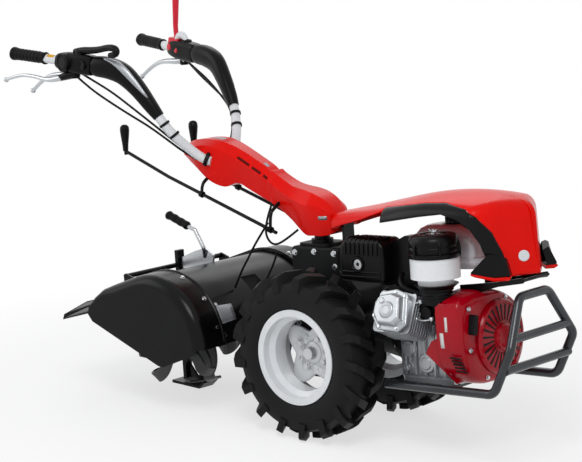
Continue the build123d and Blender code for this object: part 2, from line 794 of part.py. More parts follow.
# Tiller gear case: from the gearbox's rear flange back to the rotor
with BuildPart() as tiller_case:
    with BuildSketch(Plane.XZ) as case_side:
        with BuildLine():
            Polyline((gearbox_rear, 196), (-226, 190), (-330, 150), (-400, 112), (rotor_x + 10, rotor_z + 62),
                     (rotor_x, rotor_z), (-400, 30), (-330, 44), (-226, 54), (gearbox_rear, 56), close=True)
        make_face()
        with Locations((rotor_x, rotor_z)):
            Circle(60)
    extrude(amount=case_half_width, both=True)
    with BuildSketch(Plane.YZ.offset(gearbox_rear)):
        with Locations((0, 126)):
            RectangleRounded(118, 146, 18)
    extrude(amount=-22)
    with BuildSketch(Plane.XZ):
        with Locations((rotor_x, rotor_z)):
            Circle(axle_radius + pin_gap)
    extrude(amount=case_half_width, both=True, mode=Mode.SUBTRACT)
keep(tiller_case, "tiller_gear_case")

# Rotor: a shaft with bolted flanges of L-shaped tines
with BuildPart() as tine:
    with BuildSketch(Plane.XZ):
        with BuildLine():
            Polyline((18, -20), (96, -26), (tine_radius - 16, -52), (tine_radius - 8, -30), (106, 10), (18, 20),
                     close=True)
        make_face()
    extrude(amount=tine_thickness)
    with BuildSketch(Plane(origin=(tine_radius - 12, 0, -41), x_dir=(0.34, 0, 0.94), z_dir=(0, -1, 0))):
        Rectangle(24, tine_thickness)
    extrude(amount=52)

tine_pair = [tine.part, mirror(tine.part, about=Plane.XZ)]
with BuildPart() as rotor:
    with BuildSketch(across(0)):
        with Locations((rotor_x, rotor_z)):
            Circle(axle_radius)
    extrude(amount=flange_places[-1] + 12, both=True)
    for side in (-1, 1):
        with BuildSketch(across(side * (case_half_width + 6))):
            with Locations((rotor_x, rotor_z)):
                Circle(24)
        extrude(amount=-side * (flange_places[-1] - case_half_width))
        for row, place in enumerate(flange_places):
            with BuildSketch(across(side * place)):
                with Locations((rotor_x, rotor_z)):
                    Circle(flange_radius)
            extrude(amount=4, both=True)
            for number in range(tines_each):
                turn = number * 360 / tines_each + row * 30 + (side + 1) * 22
                hand = (-1) ** (number + (side + 1) // 2) if row else -side
                spot = Location((rotor_x, side * place - hand * 4, rotor_z), (0, turn, 0))
                with Locations(spot):
                    add(tine_pair[0 if hand > 0 else 1])
keep(rotor, "tine_rotor")

# Tiller hood: an arc over the rotor, then a sloping sheet back to the flap's hinge
with BuildPart() as hood:
    with BuildSketch(Plane.XZ):
        with BuildLine() as hood_line:
            front = CenterArc((rotor_x, rotor_z), hood_radius, 0, 96)
            Line(front @ 1, (flap_pin_x + 14, flap_pin_z + 12))
            offset(amount=hood_skin, side=Side.LEFT)
        make_face()
    extrude(amount=hood_half_width, both=True)
    with BuildSketch(Plane.XZ):
        with BuildLine():
            Polyline((-420, -60), (-300, -60), (-300, 190), (-420, 190), close=True)
        make_face()
    extrude(amount=case_half_width + seat_gap, both=True, mode=Mode.SUBTRACT)
    with BuildSketch(Plane.XY.offset(100)):
        with Locations((skid_x, 0)):
            Rectangle(skid_bar + 2 * seat_gap, skid_width + 2 * seat_gap)
    extrude(amount=200, mode=Mode.SUBTRACT)
keep(hood, "tiller_hood")

# Side covers: they widen the hood over the outer tines and close its ends
cover_side = [(-356, 4), (-362, 70), (-384, 132), (-430, 182), (-497, 212), (-631, 190), (-742, 150), (-806, 108),
              (-806, 90), (-789, 68), (-506, -52), (-484, -54)]
with BuildPart() as side_covers:
    for side in (-1, 1):
        with BuildSketch(across(side * (hood_half_width + seat_gap))) as cover_form:
            with BuildLine():
                Polyline(*cover_side, close=True)
            make_face()
            fillet(cover_form.vertices(), 8)
        extrude(amount=-side * (side_cover_half_width - hood_half_width - seat_gap))
    fillet(side_covers.faces().sort_by(Axis.Y)[0].edges(), 14)
    fillet(side_covers.faces().sort_by(Axis.Y)[-1].edges(), 14)
    for side in (-1, 1):
        with BuildSketch(across(side * hood_half_width)):
            with BuildLine():
                Polyline(*cover_side[:10], (cover_side[9][0], -200), (cover_side[0][0], -200), close=True)
            make_face()
            offset(amount=-hood_skin)
        extrude(amount=-side * (side_cover_half_width - hood_half_width - hood_skin), mode=Mode.SUBTRACT)
keep(side_covers, "side_covers")

# Hinge bar: the flap's pin in end plates on the hood's rear edge, with the rod above it
with BuildPart() as hinge_bar:
    for y in (-hood_half_width + 8, hood_half_width - 8):
        with BuildSketch(across(y)) as plate:
            with BuildLine():
                Polyline((flap_pin_x - 9, flap_pin_z), (flap_pin_x, flap_pin_z - 9), (-727, 160), (-727, 171.8),
                         (-700, 179.5), (-708, 194), (-740, 206), (-750, 202), close=True)
            make_face()
        extrude(amount=3, both=True)
    with BuildSketch(across(0)):
        with Locations((flap_pin_x, flap_pin_z)):
            Circle(flap_pin_radius)
        with Locations((-744, 196)):
            Circle(8)
    extrude(amount=hood_half_width - 8, both=True)
keep(hinge_bar, "hinge_bar")

# Rear flap: hangs from the hinge bar behind the rotor
with BuildPart() as flap:
    with BuildSketch(Plane.XZ) as flap_side:
        with BuildLine():
            flap_line = Polyline((flap_pin_x, flap_pin_z), (-765, 150), (-925, 80), (-930, 66))
            offset(amount=flap_skin / 2, side=Side.BOTH)
        make_face()
    extrude(amount=flap_half_width - 92, both=True)
    for y in (-150, -50, 50, 150):
        with BuildSketch(across(y)):
            with Locations((flap_pin_x, flap_pin_z)):
                Circle(flap_knuckle_radius)
        extrude(amount=25, both=True)
    with BuildSketch(across(0)):
        with Locations((flap_pin_x, flap_pin_z)):
            Circle(flap_pin_radius + pin_gap)
    extrude(amount=flap_half_width, both=True, mode=Mode.SUBTRACT)
keep(flap, "rear_flap")

# Depth skid: a bar through the hood with a shoe that rests on the ground behind the rotor
shoe_rear = skid_x - 44
shoe_front = skid_x + 78
with BuildPart() as skid:
    with BuildSketch(Plane.XZ):
        with BuildLine():
            Polyline((skid_x - skid_bar / 2, 250), (skid_x + skid_bar / 2, 250),
                     (skid_x + skid_bar / 2, ground(skid_x) + 14), (skid_x - skid_bar / 2, ground(skid_x) + 14),
                     close=True)
        make_face()
    extrude(amount=skid_width / 2, both=True)
    with BuildSketch(Plane.XZ):
        with BuildLine():
            Polyline((shoe_rear, ground(shoe_rear)), (shoe_front, ground(shoe_front)),
                     (shoe_front + 24, ground(shoe_front) + 20), (shoe_front + 20, ground(shoe_front) + 26),
                     (shoe_front - 4, ground(shoe_front) + 9), (shoe_rear, ground(shoe_rear) + 9), close=True)
        make_face()
    extrude(amount=32, both=True)
    with BuildSketch(Plane.XZ):
        with BuildLine():
            Polyline((skid_x, ground(skid_x) + 8), (shoe_front - 10, ground(shoe_front) + 8), (skid_x, -110),
                     close=True)
        make_face()
    extrude(amount=4, both=True)
keep(skid, "depth_skid")

# Depth lever with its notched plate on the hood, and its grip
with BuildPart() as depth_lever:
    with BuildSketch(Plane.XZ):
        with BuildLine():
            Polyline((-700, 179.4), (-704, 226), (-640, 250), (-596, 262), (-560, 240), (-563, 218.2), close=True)
        make_face()
    extrude(amount=4, both=True)
    bar([(-598, -2, 232), (-592, -12, 264), (-622, -16, 322), (-650, -20, 334)], 7, [14, 12])
keep(depth_lever, "depth_lever")

with BuildPart() as depth_grip:
    bar([(-650.3, -20, 334.2), (-723, -26, 366)], 12)
keep(depth_grip, "depth_grip")

# Parked stance: tilted nose up on its wheels, with the origin under the middle of the outline
outline = Compound(children=[stance * piece for piece in pieces.values()]).bounding_box()
home = Location((-outline.center().X, 0, -outline.min.Z))
print("wheel axle at", (home * stance).position)
os.makedirs("parts", exist_ok=True)
for name, piece in pieces.items():
    placed = home * stance * piece
    placed.label = name
    export_step(placed, f"parts/{name}.step")
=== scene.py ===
# %% [markdown]
# # A walking tractor with a rotary tiller
# This lesson dresses a finished CAD model of a two-wheel tractor. Its nodes get procedural materials.
# Where a node's shape is plain, a finer piece is drawn in its place, and Geometry Nodes add the bolts.
# Every piece is in metres, in the CAD's own frame, and rides on the body that carries it.

# %% Load the CAD model
import math
import bmesh
import bpy
from mathutils import Matrix, Vector
from mathutils.bvhtree import BVHTree
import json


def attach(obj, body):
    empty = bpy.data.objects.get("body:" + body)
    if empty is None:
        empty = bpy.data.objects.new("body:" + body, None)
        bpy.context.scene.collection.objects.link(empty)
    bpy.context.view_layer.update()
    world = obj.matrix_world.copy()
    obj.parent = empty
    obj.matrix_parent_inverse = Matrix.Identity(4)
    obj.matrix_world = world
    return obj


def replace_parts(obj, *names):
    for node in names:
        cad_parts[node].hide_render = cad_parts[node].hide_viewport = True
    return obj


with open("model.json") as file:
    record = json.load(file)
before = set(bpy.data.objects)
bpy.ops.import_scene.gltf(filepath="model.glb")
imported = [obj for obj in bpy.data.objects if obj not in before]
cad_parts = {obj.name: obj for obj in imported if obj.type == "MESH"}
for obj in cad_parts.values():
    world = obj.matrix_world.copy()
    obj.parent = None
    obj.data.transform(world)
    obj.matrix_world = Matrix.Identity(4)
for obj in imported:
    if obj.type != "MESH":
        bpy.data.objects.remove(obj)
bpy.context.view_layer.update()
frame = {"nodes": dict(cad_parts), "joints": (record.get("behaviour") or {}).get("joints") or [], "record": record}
nodes = frame["nodes"]

# %% [markdown]
# The machine stands with its nose five degrees up, and its drawing is level and starts at the wheel axle.
# One small function turns a place on that drawing, in millimetres, into a place in the scene. The axle is
# read from the wheel's joint, so it always agrees with the CAD.

# %% From the drawing to the scene
nose_up = math.radians(5.0)
wheel_joint = next(j for j in frame["joints"] if j["name"] == "wheel_right_roll")
axle = Vector((wheel_joint["pos_m"][0], 0.0, wheel_joint["pos_m"][2]))
level_to_parked = Matrix.Translation(axle) @ Matrix.Rotation(-nose_up, 4, "Y") @ Matrix.Scale(0.001, 4)


def place(x, y, z):
    """A place on the level drawing, in millimetres from the axle, as a place in the scene in metres."""
    return level_to_parked @ Vector((x, y, z))


def heading(x, y, z):
    """A direction on the level drawing as a direction in the scene."""
    return (level_to_parked.to_3x3() @ Vector((x, y, z))).normalized()


print("axle at", tuple(round(c, 4) for c in axle))

# %% [markdown]
# ## Camera
# The photograph was taken with a long lens from the machine's front right, a little above the bonnet. A
# camera fitted to the wheels, the engine and the handles gives this place and focal length.

# %% Camera
camera_data = bpy.data.cameras.new("camera")
camera_data.sensor_width = 36.0
camera_data.lens = 131.8
camera = bpy.data.objects.new("camera", camera_data)
camera.location = (axle.x + 4.02155, -4.89063, 1.83542)
camera.rotation_euler = (math.radians(90 - 11.061), 0.0, math.radians(41.134))
bpy.context.scene.collection.objects.link(camera)
bpy.context.scene.camera = camera

# %% [markdown]
# ## Materials
# Each finish starts from what the real one is: pressed steel under enamel, injection-moulded plastic, sand
# castings, rolled tube and rubber. Colours are written as sRGB hex values, and one function makes them
# linear. One more function adds a node with its settings and links, so that each material reads from its
# pattern to its shader.

# %% Colour and node helpers
def hex_colour(text):
    """An sRGB hex colour as linear red, green, blue and alpha."""
    parts = [int(text[i:i + 2], 16) / 255 for i in (1, 3, 5)]
    return [c / 12.92 if c <= 0.04045 else ((c + 0.055) / 1.055) ** 2.4 for c in parts] + [1.0]


def add_node(tree, kind, settings=None, links=None):
    """Adds a node, sets its properties or inputs by name, and links other nodes' outputs to its inputs."""
    node = tree.nodes.new(kind)
    for name, value in (settings or {}).items():
        if isinstance(name, str) and hasattr(node, name):
            setattr(node, name, value)
        else:
            node.inputs[name].default_value = value
    for name, output in (links or {}).items():
        tree.links.new(output, node.inputs[name])
    return node


def new_material(name):
    """An empty node material and its tree."""
    material = bpy.data.materials.new(name)
    material.use_nodes = True
    material.node_tree.nodes.clear()
    return material, material.node_tree


def colour_ramp(tree, source, stops):
    """A ramp from places to hex colours, driven by a pattern."""
    ramp = add_node(tree, "ShaderNodeValToRGB", links={"Fac": source})
    elements = ramp.color_ramp.elements
    while len(elements) < len(stops):
        elements.new(0.5)
    for element, (position, colour) in zip(elements, stops):
        element.position = position
        element.color = hex_colour(colour)
    return ramp


# %% [markdown]
# Most of the machine has one of a few surfaces that differ in colour, gloss and grain. This recipe blends
# two shades of one colour by a slow cloud, varies the gloss by the same cloud, rounds the light on sharp
# edges with a bevel, and gives the surface a grain of a real size in millimetres.

# %% Recipe for paint, plastic and castings
def surface(name, light, dark, roughness, grain_mm, grain_height, metallic=0.0, coat=0.0, cloud_mm=140.0,
            rough_spread=0.04, edge_mm=1.4, shine=0.5):
    """A solid finish: two shades, uneven gloss, softened edges and a fine grain."""
    material, tree = new_material(name)
    where = add_node(tree, "ShaderNodeTexCoord")
    cloud = add_node(tree, "ShaderNodeTexNoise", {"Scale": 1000 / cloud_mm, "Detail": 3.0,
                                                  "Roughness": 0.5},
                     {"Vector": where.outputs["Object"]})
    shade = colour_ramp(tree, cloud.outputs["Fac"], [(0.32, dark), (0.68, light)])
    fine = add_node(tree, "ShaderNodeTexNoise", {"Scale": 1000 / grain_mm, "Detail": 2.0, "Roughness": 0.6},
                    {"Vector": where.outputs["Object"]})
    gloss = add_node(tree, "ShaderNodeMapRange",
                     {"From Min": 0.3, "From Max": 0.7, "To Min": roughness - rough_spread,
                      "To Max": roughness + rough_spread}, {"Value": cloud.outputs["Fac"]})
    soft_edge = add_node(tree, "ShaderNodeBevel", {"samples": 4, "Radius": edge_mm / 1000})
    bump = add_node(tree, "ShaderNodeBump", {"Strength": 1.0, "Distance": grain_height / 1000},
                    {"Height": fine.outputs["Fac"], "Normal": soft_edge.outputs["Normal"]})
    shader = add_node(tree, "ShaderNodeBsdfPrincipled",
                      {"Metallic": metallic, "Coat Weight": coat, "Coat Roughness": 0.08,
                       "Specular IOR Level": shine},
                      {"Base Color": shade.outputs["Color"], "Roughness": gloss.outputs["Result"],
                       "Normal": bump.outputs["Normal"]})
    add_node(tree, "ShaderNodeOutputMaterial", links={"Surface": shader.outputs["BSDF"]})
    return material


# %% [markdown]
# The covers are gloss moulded plastic, the engine's sheet metal is enamelled a deeper red, the castings are
# painted charcoal over a sand-cast grain, and the tiller's sheets have a satin black powder coat.

# %% Finishes
finishes = {
    "bright_red": surface("gloss_moulded_abs", "#E60F05", "#DB0C04", 0.26, 1.4, 0.008, shine=0.12),
    "crimson": surface("crimson_enamel_on_steel", "#A80017", "#980014", 0.2, 2.0, 0.012, coat=0.08,
                       shine=0.2),
    "cast_grey": surface("charcoal_paint_on_cast_iron", "#111214", "#0B0C0D", 0.45, 2.2, 0.16, shine=0.14),
    "black_plastic": surface("grained_black_polypropylene", "#0A0A0B", "#060607", 0.3, 0.9, 0.04,
                             shine=0.13),
    "satin_black": surface("satin_black_powder_coat", "#0A0B0C", "#060607", 0.24, 1.6, 0.02, shine=0.15),
    "gunmetal": surface("gunmetal_paint_on_tube", "#34373B", "#26282B", 0.26, 1.6, 0.02, metallic=0.55,
                        coat=0.2),
    "white_paint": surface("pale_enamel_on_steel", "#E2E4E6", "#D6D9DC", 0.34, 2.4, 0.02, coat=0.2),
    "tyre_rubber": surface("tractor_tyre_rubber", "#121213", "#0C0C0D", 0.55, 1.8, 0.08, shine=0.16),
    "grip_rubber": surface("soft_black_rubber", "#09090A", "#060606", 0.5, 1.0, 0.05, shine=0.13),
    "cast_aluminium": surface("sand_cast_aluminium", "#CBCED1", "#AEB2B6", 0.36, 1.6, 0.1, metallic=0.7),
    "tank_white": surface("silver_white_tank_enamel", "#DDE0E4", "#D0D4D9", 0.24, 2.0, 0.01, metallic=0.15,
                          coat=0.3),
    "band_white": surface("white_moulded_abs", "#E8EAEC", "#DEE0E2", 0.36, 1.2, 0.01),
    "bright_steel": surface("nickel_plated_steel", "#C9CBCE", "#B0B3B6", 0.24, 1.2, 0.01, metallic=1.0),
    "safety_red": surface("moulded_signal_red_nylon", "#DA1030", "#CE0E2B", 0.34, 1.2, 0.01, shine=0.4),
    "tine_steel": surface("forged_steel_tine_paint", "#1C1D1F", "#131415", 0.42, 1.8, 0.1),
}
slot_of = {row["node"]: row["material_slot"] for row in frame["record"]["subparts"]}
slot_of["carburettor"] = "black_plastic"
for name, obj in nodes.items():
    obj.data.materials.clear()
    obj.data.materials.append(finishes[slot_of[name]])
print("finished nodes", len(slot_of))

# %% [markdown]
# ## Details
# The castings and sheets above carry many small fittings. All of them are drawn in millimetres on the level
# drawing. `finish_piece` turns such a drawing into an object in the scene, on the body that carries it.

# %% Drawing small pieces
def finish_piece(name, body, slot, shape, material=None, sharp=35.0):
    """Makes an object of a shape drawn in millimetres, smooth up to an angle, riding on a body."""
    shape.transform(level_to_parked)
    bmesh.ops.remove_doubles(shape, verts=shape.verts, dist=1e-6)
    bmesh.ops.recalc_face_normals(shape, faces=shape.faces)
    mesh = bpy.data.meshes.new(name)
    shape.to_mesh(mesh)
    shape.free()
    mesh.shade_smooth()
    mesh.set_sharp_from_angle(angle=math.radians(sharp))
    mesh.materials.append(material or finishes[slot])
    piece = bpy.data.objects.new(name, mesh)
    bpy.context.scene.collection.objects.link(piece)
    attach(piece, body)
    return piece


def rounded_edges(piece, radius, segments, angle=30.0):
    """Rounds the edges that turn by more than an angle, with a radius in millimetres."""
    rounding = piece.modifiers.new("edges", "BEVEL")
    rounding.width = radius / 1000
    rounding.segments = segments
    rounding.limit_method = "ANGLE"
    rounding.angle_limit = math.radians(angle)


def thickened(piece, thickness):
    """Gives an open skin its sheet thickness in millimetres, inward from its outside."""
    sheet = piece.modifiers.new("sheet", "SOLIDIFY")
    sheet.thickness = thickness / 1000
    sheet.offset = -1.0


def on_side(line, side):
    """A line drawn on the left, kept there by 1 and put on the right by -1, or the other way round."""
    return [(x, side * y, z) for x, y, z in line]


def on_circle(radius, degrees):
    """The two coordinates of a place on a circle."""
    return radius * math.cos(math.radians(degrees)), radius * math.sin(math.radians(degrees))


def turned(shape, centre, way, profile, count=28):
    """Adds a turned solid: a profile of (radius, height) pairs spun round an axis through a centre."""
    way = Vector(way).normalized()
    lay = way.to_track_quat("Z", "Y").to_matrix().to_4x4()
    lay.translation = Vector(centre)
    rings = []
    for radius, height in profile:
        if radius < 0.01:
            rings.append([shape.verts.new(lay @ Vector((0, 0, height)))])
        else:
            angles = [2 * math.pi * i / count for i in range(count)]
            rings.append([shape.verts.new(lay @ Vector((radius * math.cos(a), radius * math.sin(a),
                                                        height)))
                          for a in angles])
    for low, high in zip(rings, rings[1:]):
        for i in range(count):
            k = (i + 1) % count
            corners = [low[i % len(low)], low[k % len(low)], high[k % len(high)], high[i % len(high)]]
            corners = list(dict.fromkeys(corners))
            if len(corners) > 2:
                shape.faces.new(corners)


def slab(shape, outline, reach):
    """Adds a plate: a closed outline of places, pushed along a reach."""
    low = [shape.verts.new(point) for point in outline]
    high = [shape.verts.new(Vector(point) + Vector(reach)) for point in outline]
    shape.faces.new(low)
    shape.faces.new(list(reversed(high)))
    for i in range(len(outline)):
        k = (i + 1) % len(outline)
        shape.faces.new((low[k], low[i], high[i], high[k]))


def bent_rod(shape, points, radii):
    """Adds a smooth bent rod along control points, with its own radius at each."""
    curve = bpy.data.curves.new("rod", "CURVE")
    curve.dimensions = "3D"
    curve.bevel_depth = 1.0
    curve.bevel_resolution = 4
    curve.use_fill_caps = True
    curve.resolution_u = 10
    spline = curve.splines.new("NURBS")
    spline.points.add(len(points) - 1)
    for control, point, radius in zip(spline.points, points, radii):
        control.co = (*point, 1.0)
        control.radius = radius
    spline.order_u = 3
    spline.use_endpoint_u = True
    carrier = bpy.data.objects.new("rod", curve)
    mesh = bpy.data.meshes.new_from_object(carrier)
    shape.from_mesh(mesh)
    bpy.data.objects.remove(carrier)
    bpy.data.curves.remove(curve)
    bpy.data.meshes.remove(mesh)


# %% [markdown]
# Labels, inlays and screws sit exactly on the CAD surfaces. A ray from outside finds the place and the
# surface's direction there, so a thin plate can follow a curved cover and a bolt head stands square on it.

# %% Laying pieces on a surface
skins = {}


def skin_of(name):
    """A node's surface, ready for rays."""
    if name not in skins:
        mesh = (nodes[name] if name in nodes else bpy.data.objects[name]).data
        corners = [v.co for v in mesh.vertices]
        skins[name] = BVHTree.FromPolygons(corners, [f.vertices for f in mesh.polygons])
    return skins[name]


def landing(node, point, toward):
    """Where a ray through a place on the drawing meets a node, and the surface's direction there."""
    way = heading(*toward)
    hit, normal, _, _ = skin_of(node).ray_cast(place(*point) - way * 0.25, way, 0.8)
    if hit is None:
        raise ValueError(f"nothing of {node} at {point}")
    return hit, normal if normal.dot(way) < 0 else -normal


# %% [markdown]
# Moulded covers and bent tubes are skins: a row of rings is drawn along the piece, and faces join each ring
# to the next. A smooth line through a few places gives the rings between them.

# %% Skins through rings
def flowing(points, steps):
    """Places along a smooth line through the given ones, with this many steps to each stretch."""
    last = len(points) - 1
    line = []
    for i in range(last):
        a, b, c, d = (Vector(points[max(0, min(last, k))]) for k in (i - 1, i, i + 1, i + 2))
        for j in range(steps):
            t = j / steps
            line.append(0.5 * (2 * b + (c - a) * t + (2 * a - 5 * b + 4 * c - d) * t ** 2
                               + (3 * b - a - 3 * c + d) * t ** 3))
    return line + [Vector(points[-1])]


def skinned(shape, rings, closed=True, capped=True):
    """Joins rings of equal length into one skin, closed at its ends if it has them."""
    loops = [[shape.verts.new(point) for point in ring] for ring in rings]
    count = len(loops[0])
    for low, high in zip(loops, loops[1:]):
        for i in range(count if closed else count - 1):
            k = (i + 1) % count
            shape.faces.new((low[i], low[k], high[k], high[i]))
    if closed and capped:
        shape.faces.new(loops[0])
        shape.faces.new(loops[-1])


def mirrored(shape):
    """Adds the other side's half of a shape that is drawn on one side only."""
    twin = bmesh.ops.duplicate(shape, geom=shape.verts[:] + shape.edges[:] + shape.faces[:])
    for item in twin["geom"]:
        if isinstance(item, bmesh.types.BMVert):
            item.co.y = -item.co.y


def walled(piece, thickness, core):
    """Turns an open skin's faces away from a core and gives it its sheet thickness."""
    middle = place(*core)
    outward = sum(f.normal.dot(f.center - middle) * f.area for f in piece.data.polygons)
    if outward < 0:
        piece.data.flip_normals()
    thickened(piece, thickness)


def along(points, share):
    """The place a share of the way through a list of points."""
    spot = share * (len(points) - 1)
    i = min(int(spot), len(points) - 2)
    return Vector(points[i]).lerp(Vector(points[i + 1]), spot - i)


def laid(name, body, slot, base, upper, lower, toward, lift=0.6, thick=1.4, columns=16, rows=4,
         material=None):
    """A thin plate between two drawn lines, laid on a surface along a direction."""
    shape = bmesh.new()
    back = level_to_parked.inverted()
    grid = []
    for r in range(rows + 1):
        line = []
        for c in range(columns + 1):
            spot = along(lower, c / columns).lerp(along(upper, c / columns), r / rows)
            hit, normal = landing(base, spot, toward)
            line.append(back @ (hit + normal * lift / 1000))
        grid.append(line)
    skinned(shape, grid, closed=False)
    piece = finish_piece(name, body, slot, shape, material)
    outward = sum((f.normal * f.area for f in piece.data.polygons), Vector())
    if outward.dot(heading(*toward)) > 0:
        piece.data.flip_normals()
    thickened(piece, thick)


def squared(turn, power):
    """A place at an angle on a curve that is a circle at power 2 and squarer above it."""
    c, n = math.cos(turn), math.sin(turn)
    return math.copysign(abs(c) ** (2 / power), c), math.copysign(abs(n) ** (2 / power), n)


def tapered(shape, stations, power=2.0, count=28, steps=6):
    """A skin along a bent line: each station is x, y, z, half width and half height, oval or squarer."""
    line = flowing(stations, steps)
    rings = []
    for i, spot in enumerate(line):
        ahead = Vector(line[min(i + 1, len(line) - 1)][:3]) - Vector(line[max(i - 1, 0)][:3])
        side = ahead.cross(Vector((0, 0, 1))).normalized()
        up = side.cross(ahead).normalized()
        ring = [squared(2 * math.pi * k / count, power) for k in range(count)]
        rings.append([Vector(spot[:3]) + side * across * spot[3] + up * above * spot[4]
                      for across, above in ring])
    skinned(shape, rings)


# %% [markdown]
# ## Bonnet
# The bonnet is a moulded hood: straight sides, a crown that rises to the middle, rounded shoulders and a
# raked nose. Its red shell and black side bands are cut from one surface, so they meet in one line. Two
# dark wedges with red lips fill its lower front corners, and a slim stay carries the pin that it opens
# on.

# %% The bonnet's surface
crown_line = flowing([(-20, 401), (129, 427), (332, 467), (450, 479), (560, 476), (640, 463), (740, 435)],
                     12)
plan_line = flowing([(2, 0), (0, 36), (4, 70), (90, 96), (220, 140), (320, 159), (450, 160), (560, 160),
                     (596, 155), (629, 126), (657, 90), (687, 45), (712, 0)], 14)
band_upper = [(252, 438), (410, 458), (489, 461), (566, 447), (605, 425), (637, 378), (654, 319),
              (664, 250)]
band_lower = [(252, 396), (401, 420), (485, 431), (545, 415), (588, 388), (610, 350), (622, 306),
              (630, 262)]
tail_edge = [(-10, 350), (6, 358), (60, 374), (151, 396), (252, 428), (254, 438)]


def height_on(line, x):
    """The height of a drawn line at a place along the machine."""
    for low, high in zip(line, line[1:]):
        if low[0] <= x <= high[0]:
            return low[1] + (high[1] - low[1]) * (x - low[0]) / max(high[0] - low[0], 1e-6)
    return line[0][1] if x < line[0][0] else line[-1][1]


def bonnet_section(i):
    """The surface's line at one place of the outline: up its wall, round the shoulder and inward."""
    spot = plan_line[i]
    ahead = plan_line[min(i + 1, len(plan_line) - 1)] - plan_line[max(i - 1, 0)]
    out = Vector((-ahead.y, ahead.x)).normalized()
    rake = max(0.0, min(1.0, (spot.x - 560) / 100)) * 26

    def wall(z):
        return Vector((spot.x, spot.y)) - out * rake * out.x * (z - 200) / 320

    def roof(x, y):
        return height_on(crown_line, x) - 32 * (y / 168) ** 2

    shoulder = 32.0
    edge = wall(430)
    centre = Vector((min(max(spot.x, 20), 560), 0))
    inward = centre - edge
    reach = max(inward.length, 1e-3)
    top = roof(*edge)
    line = [Vector((*wall(z), z)) for z in [246 + (top - shoulder - 246) * k / 24 for k in range(24)]]
    for k in range(11):
        turn = math.radians(90 * k / 10)
        go = min(shoulder * (1 - math.cos(turn)), reach)
        at = edge + inward * go / reach
        line.append(Vector((*at, roof(*at) - shoulder * (1 - math.sin(turn)))))
    for k in range(1, 17):
        at = edge + inward * min(1.0, (shoulder + (reach - shoulder) * k / 16) / reach)
        line.append(Vector((*at, roof(*at))))
    return line


def between(line, low, high, rows):
    """The stretch of a section from one height to another, in even steps."""
    low = max(low, line[0].z)
    marks = [0.0]
    for a, b in zip(line, line[1:]):
        marks.append(marks[-1] + (b - a).length)

    def reach_of(z):
        for (a, b), m, n in zip(zip(line, line[1:]), marks, marks[1:]):
            if a.z <= z <= b.z:
                return m + (n - m) * (z - a.z) / max(b.z - a.z, 1e-6)
        return marks[-1]

    start, end = reach_of(low), marks[-1] if high is None else reach_of(high)
    points = []
    for r in range(rows + 1):
        want = start + (end - start) * r / rows
        for (a, b), m, n in zip(zip(line, line[1:]), marks, marks[1:]):
            if m <= want <= n + 1e-9:
                points.append(a.lerp(b, (want - m) / max(n - m, 1e-9)))
                break
        else:
            points.append(line[-1].copy())
    return points


shell, bands = bmesh.new(), bmesh.new()
shell_rows, band_rows = [], []
for i, spot in enumerate(plan_line):
    section = bonnet_section(i)
    cut = height_on(tail_edge, spot.x) if spot.x < 252 else height_on(band_upper, spot.x)
    shell_rows.append(between(section, cut if spot.x < 664 else 250, None, 34))
    if 256 <= spot.x <= 663 and spot.y > 60:
        band_rows.append(between(section, height_on(band_lower, spot.x), cut - 0.6, 10))
skinned(shell, shell_rows, closed=False)
mirrored(shell)
skinned(bands, band_rows, closed=False)
mirrored(bands)
hood = finish_piece("bonnet_shell", "bonnet_lid", "bright_red", shell, sharp=50)
walled(hood, 3.5, (330, 0, 300))
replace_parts(hood, "bonnet")
band = finish_piece("bonnet_bands", "bonnet_lid", "satin_black", bands, sharp=50)
walled(band, 4.5, (330, 0, 300))
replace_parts(band, "bonnet_trims")
ears = bmesh.new()
skinned(ears, [[(584, 150, 262), (590, 164, 262), (652, 146, 250), (684, 114, 250), (672, 86, 252)],
               [(582, 150, 270), (588, 166, 270), (654, 149, 262), (687, 116, 262), (672, 86, 262)],
               [(630, 126, 318), (632, 142, 320), (650, 132, 318), (668, 106, 308), (660, 86, 300)]])
mirrored(ears)
ear = finish_piece("bonnet_ears", "bonnet_lid", "black_plastic", ears, sharp=30)
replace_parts(ear, "bonnet_grilles")
lips = bmesh.new()
skinned(lips, [[(590, 148, 256), (596, 158, 256), (652, 140, 244), (680, 110, 244), (668, 84, 246)],
               [(583, 150, 262), (589, 168, 262), (655, 150, 250), (689, 117, 250), (672, 84, 252)],
               [(583, 150, 266), (589, 168, 266), (655, 150, 255), (689, 117, 255), (672, 84, 256)]])
mirrored(lips)
finish_piece("ear_lips", "bonnet_lid", "bright_red", lips, sharp=30)

stay = bmesh.new()
for y in (-62.5, 57.5):
    slab(stay, [(470, y, 196), (470, y, 212), (590, y, 226), (690, y, 244), (698, y, 236), (690, y, 228),
                (600, y, 213), (540, y, 196)], (0, 5, 0))
bent_rod(stay, [(690, -60, 236), (690, 60, 236)], [5, 5])
slab(stay, [(473, -60, 196), (543, -60, 196), (543, 60, 196), (473, 60, 196)], (0, 0, 4))
slab(stay, [(6, -24, 297), (14, -24, 297), (14, -24, 400), (6, -24, 399)], (0, 48, 0))
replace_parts(finish_piece("slim_stay", "chassis", "satin_black", stay, sharp=30), "bonnet_stay")

# %% [markdown]
# ## Column and handles
# The red column is a cast hood over the steering tube. Its sections run from the foot, rounded about the
# post, through the narrow neck to the wide fork. Under it hang the guides of the gear rods.

